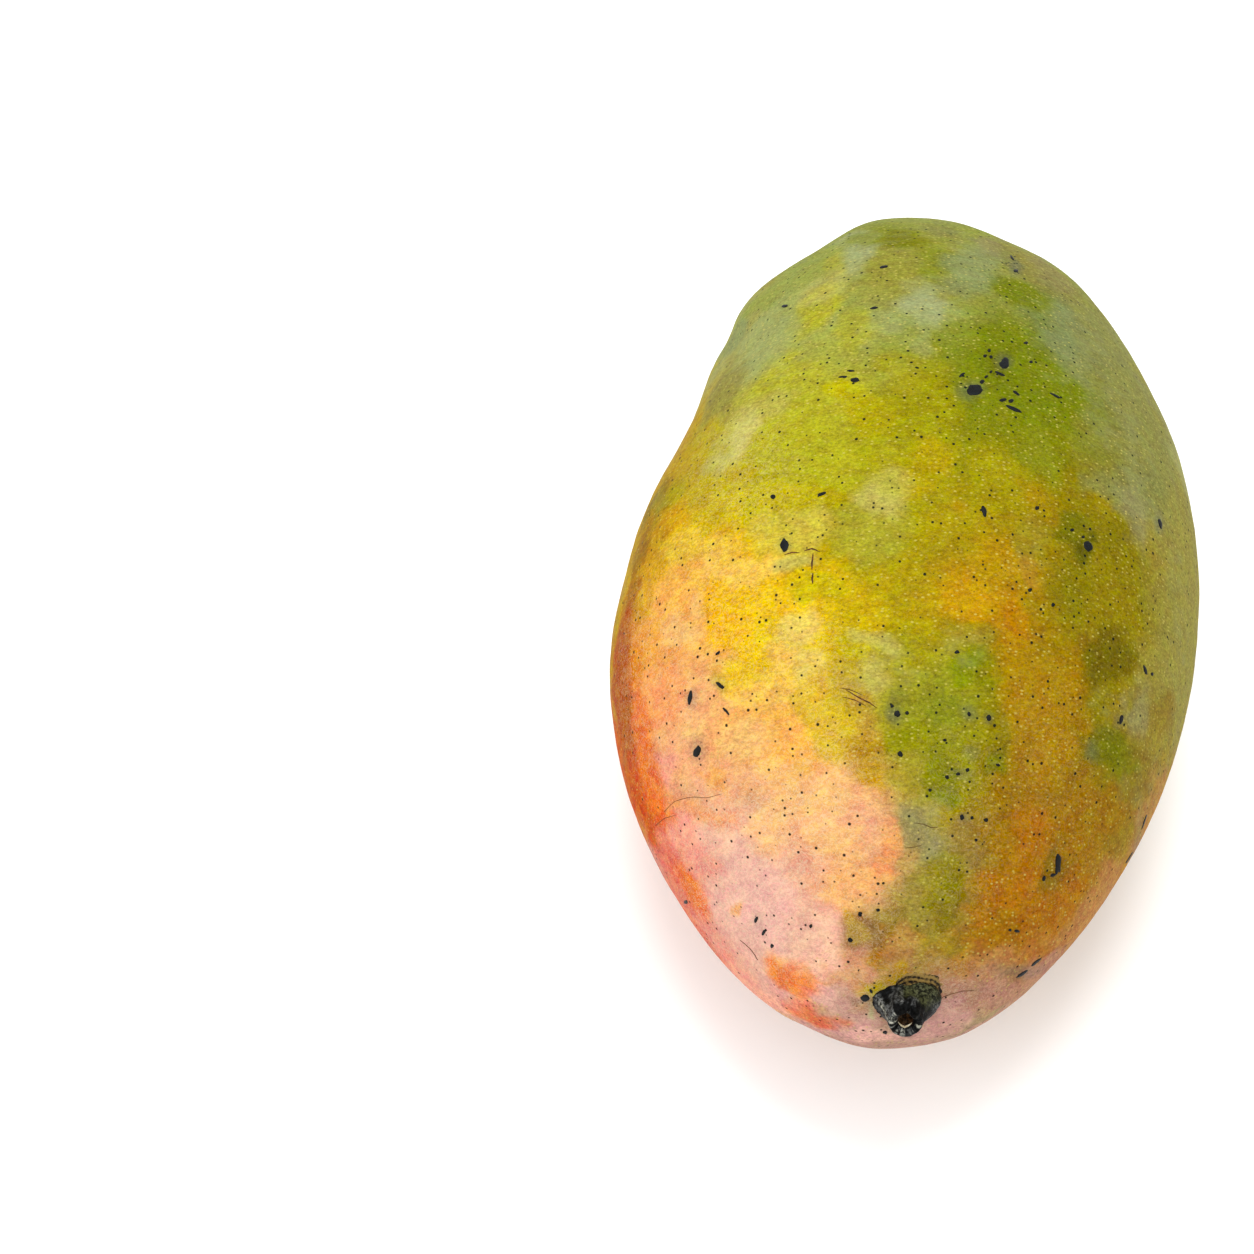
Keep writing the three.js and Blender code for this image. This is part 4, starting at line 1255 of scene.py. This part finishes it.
def make_stub(skin):
    """The fluted stub, rough like charred bark, with hollows round its end and a pit in it."""
    radius, height, turns = stub_grid()
    foot, axis, side, over = stub_frame(skin)
    spots = np.stack((np.cos(turns) * 3, np.sin(turns) * 3, height * 0.35), axis=-1).reshape(-1, 3)
    ribs = clouds(spots, 0.7, 81).reshape(turns.shape)
    knots = clouds(spots * (1, 1, 3), 1.5, 82).reshape(turns.shape)
    near_end = smoothstep(4.5, 6.0, height)
    grown = smoothstep(FLUTES_BEGIN, FLUTES_FULL, height) * (1 - 0.75 * near_end)
    scale = 1 - FLUTE_SHARE * grown * (1 - np.cos(FLUTES * turns)) / 2
    low = smoothstep(5.0, 1.0, height)
    bark = radius * scale * (1 - (1 - flattened(turns)) * low)
    rough = RIB_HEIGHT * ribs + KNOT_HEIGHT * knots
    bark += smoothstep(0.5, 2.0, radius) * (1 - 0.6 * near_end) * rough
    hollow = stub_hollows(radius, height, turns)
    bark -= hollow
    crown = smoothstep(4.8, 6.0, height) * smoothstep(0.8, 1.5, radius) * smoothstep(2.5, 2.0, radius)
    height = height + crown * (END_WAVE * np.cos(END_WAVES * turns + 0.6) + END_KNOTS * knots)
    height = height - END_TILT * smoothstep(3.0, 6.0, height) * bark * np.sin(turns)
    points = (
        foot
        + (bark * np.cos(turns))[..., None] * side
        + (bark * np.sin(turns))[..., None] * over
        + height[..., None] * axis
    ).reshape(-1, 3)
    ends = [foot + axis * STUB_PROFILE[0][1], foot + axis * STUB_PROFILE[-1][1]]
    faces = [face[::-1] for face in ring_faces(len(radius), STUB_SIDES)]
    root, pit = len(points), len(points) + 1
    last = len(points) - STUB_SIDES
    for k in range(STUB_SIDES):
        after = (k + 1) % STUB_SIDES
        faces += [(root, k, after), (pit, last + after, last + k)]
    colour = paint_bark(radius, height, turns, ribs, knots, hollow)
    colour = np.concatenate((colour, (tone("root_black"), tone("pit_middle"))))
    return np.concatenate((points, ends)), faces, colour


def stub_material():
    """Bark painted from the vertices, with its painted highlights and shade, and with fine dark and pale
    flecks.
    """
    paint = Nodes("stalk_bark")
    grain = paint.texture(paint.place(), 0.42, 3.0, 0.7)
    paint.set(
        Base_Color=paint.shaded(paint.read("bark_and_painted_light_colour"), paint.ramp(grain, 0.4, 0.62, 0.15, 2.1)),
        Roughness=paint.ramp(grain, 0.2, 0.8, 0.4, 0.75),
        Specular_IOR_Level=0.05,
        Normal=paint.bump(grain, 1.0, 0.2),
    )
    return paint.material


def make_collar(skin):
    """The rim of skin round the stub, partly dark torn skin and partly painted shade in the crevice at its
    foot, and a torn, layered flap of it on the upper right.
    """
    foot, axis, side, over = stub_frame(skin)
    turn = np.linspace(0, 2 * math.pi, COLLAR_SIDES, endpoint=False)
    circle = np.stack((np.cos(turn), np.sin(turn), np.zeros(COLLAR_SIDES)), axis=1) * 5
    spikes = clouds(circle, 0.7, 91, 2)
    strands = clouds(circle, 2.5, 92, 2)
    flap = smoothstep(0.3, 0.95, np.cos(turn - math.radians(FLAP_TURN)))
    edge = STUB_FOOT_RADIUS * flattened(turn)
    inner = edge - COLLAR_TUCK
    outer = edge - 0.3 + 0.15 * spikes + flap * (FLAP_REACH + 0.35 * spikes)
    rows = [(share, None) for share in np.linspace(0, 1, COLLAR_ROWS)] + list(COLLAR_UNDER)
    points, layers = [], []
    for share, sunk in rows:
        ripple = 0.5 + 0.5 * np.sin(2 * math.pi * FLAP_LAYERS * share + 1.8 * spikes + 2 * strands)
        for k in range(COLLAR_SIDES):
            far = inner[k] + (outer[k] - inner[k]) * share
            spot = foot + side * far * math.cos(turn[k]) + over * far * math.sin(turn[k])
            place, _, _, _ = skin.tree.ray_cast(Vector(spot + axis * WELL_ABOVE), Vector(-axis))
            rise = (0.12 + (0.25 + 0.2 * ripple[k]) * flap[k]) * (1 - share) ** 0.7
            points.append(np.array(place) + axis * (rise + 0.02 if sunk is None else -sunk))
            layers.append(flap[k] * (0.25 + 0.75 * ripple[k]) * (0.4 + 0.6 * share))
    faces = ring_faces(len(rows), COLLAR_SIDES)
    last = (len(rows) - 1) * COLLAR_SIDES
    for k in range(COLLAR_SIDES):
        after = (k + 1) % COLLAR_SIDES
        faces.append((last + k, last + after, after, k))
    return points, faces, layers


def collar_material():
    """Brown and olive layers with dark gaps between them. The dark is partly torn skin and partly painted
    shade in the grooves and the crevice.
    """
    paint = Nodes("torn_rim")
    grain = paint.texture(paint.place(), 0.4, 3.0, 0.6)
    layers = paint.maths("ADD", paint.read("layers"), paint.ramp(grain, 0.3, 0.7, -0.25, 0.25))
    torn = paint.mix(paint.ramp(layers, 0.15, 0.8), as_painted("torn_dark_and_shade"), as_painted("torn_tan"))
    paint.set(
        Base_Color=torn,
        Roughness=paint.ramp(grain, 0.2, 0.8, 0.6, 0.85),
        Specular_IOR_Level=0.15,
        Normal=paint.bump(grain, 0.6, 0.08),
    )
    return paint.material


def make_pith(skin):
    """A pale crescent of pith along the lower side of the pit in the stub's end."""
    foot, axis, side, over = stub_frame(skin)
    centre = foot + axis * PITH_HEIGHT
    points = []
    for step in range(PITH_STEPS + 1):
        share = step / PITH_STEPS
        across = PITH_HALF_WIDTH * (1 - 2 * share)
        drop = PITH_LOWEST - 0.95 * abs(1 - 2 * share) ** 1.15 - 0.1 * share
        thick = PITH_THICKNESS * math.sqrt(math.sin(math.pi * (step + 0.5) / (PITH_STEPS + 1)))
        middle = centre + side * across - over * drop + axis * PITH_WAVE * math.sin(9 * share)
        for k in range(PITH_SIDES):
            angle = 2 * math.pi * k / PITH_SIDES
            points.append(middle + over * thick * math.cos(angle) + axis * 2.2 * thick * math.sin(angle))
    faces = ring_faces(PITH_STEPS + 1, PITH_SIDES)
    ends = [tuple(range(PITH_SIDES))[::-1], tuple(PITH_STEPS * PITH_SIDES + k for k in range(PITH_SIDES))]
    return points, faces + ends


# The whole scene

make_camera()
make_stage()
make_light()

skin = build_skin()
fruit = add_piece("mango_skin", (skin.points, skin.faces), skin_material(), "skin", "fruit")
store(fruit, "skin_colour", paint_for(skin.colour, normals_of(skin.points, skin.faces)))
store(fruit, "fibres", skin.fibres)
store(fruit, "bloom", skin.bloom)
store(fruit, "dots", skin.dots)

flakes = joined([make_flake(skin, seed, *mark) for seed, mark in enumerate(INK_MARKS)])
add_piece("skin_scabs", flakes, rough_material("scab", "scab_black", "scab_grey", 0.5), "skin")
# Cracks, and a dark line that paints the stub's shadow
cracks_and_shadow_line = joined([make_line_mark(skin, *dark_line) for dark_line in CRACKS_AND_SHADOW_LINE])
add_piece("skin_cracks_and_shadow_line", cracks_and_shadow_line, rough_material("dark_line", "crack_and_shadow_brown", "crack_and_shadow_tan", 0.6), "skin")

*stub_mesh, bark_and_painted_light_colour = make_stub(skin)
stub = add_piece("stalk_stub", stub_mesh, stub_material(), "dry_stalk", "stem_stub")
store(stub, "bark_and_painted_light_colour", paint_for(bark_and_painted_light_colour))
*collar_mesh, layers = make_collar(skin)
collar = add_piece("stalk_collar", collar_mesh, collar_material(), "dry_stalk")
store(collar, "layers", layers)
pith_finish = rough_material("pith", "pith_tan", "pith_cream", 0.7)
add_piece("stalk_pith", make_pith(skin), pith_finish, "dry_stalk")
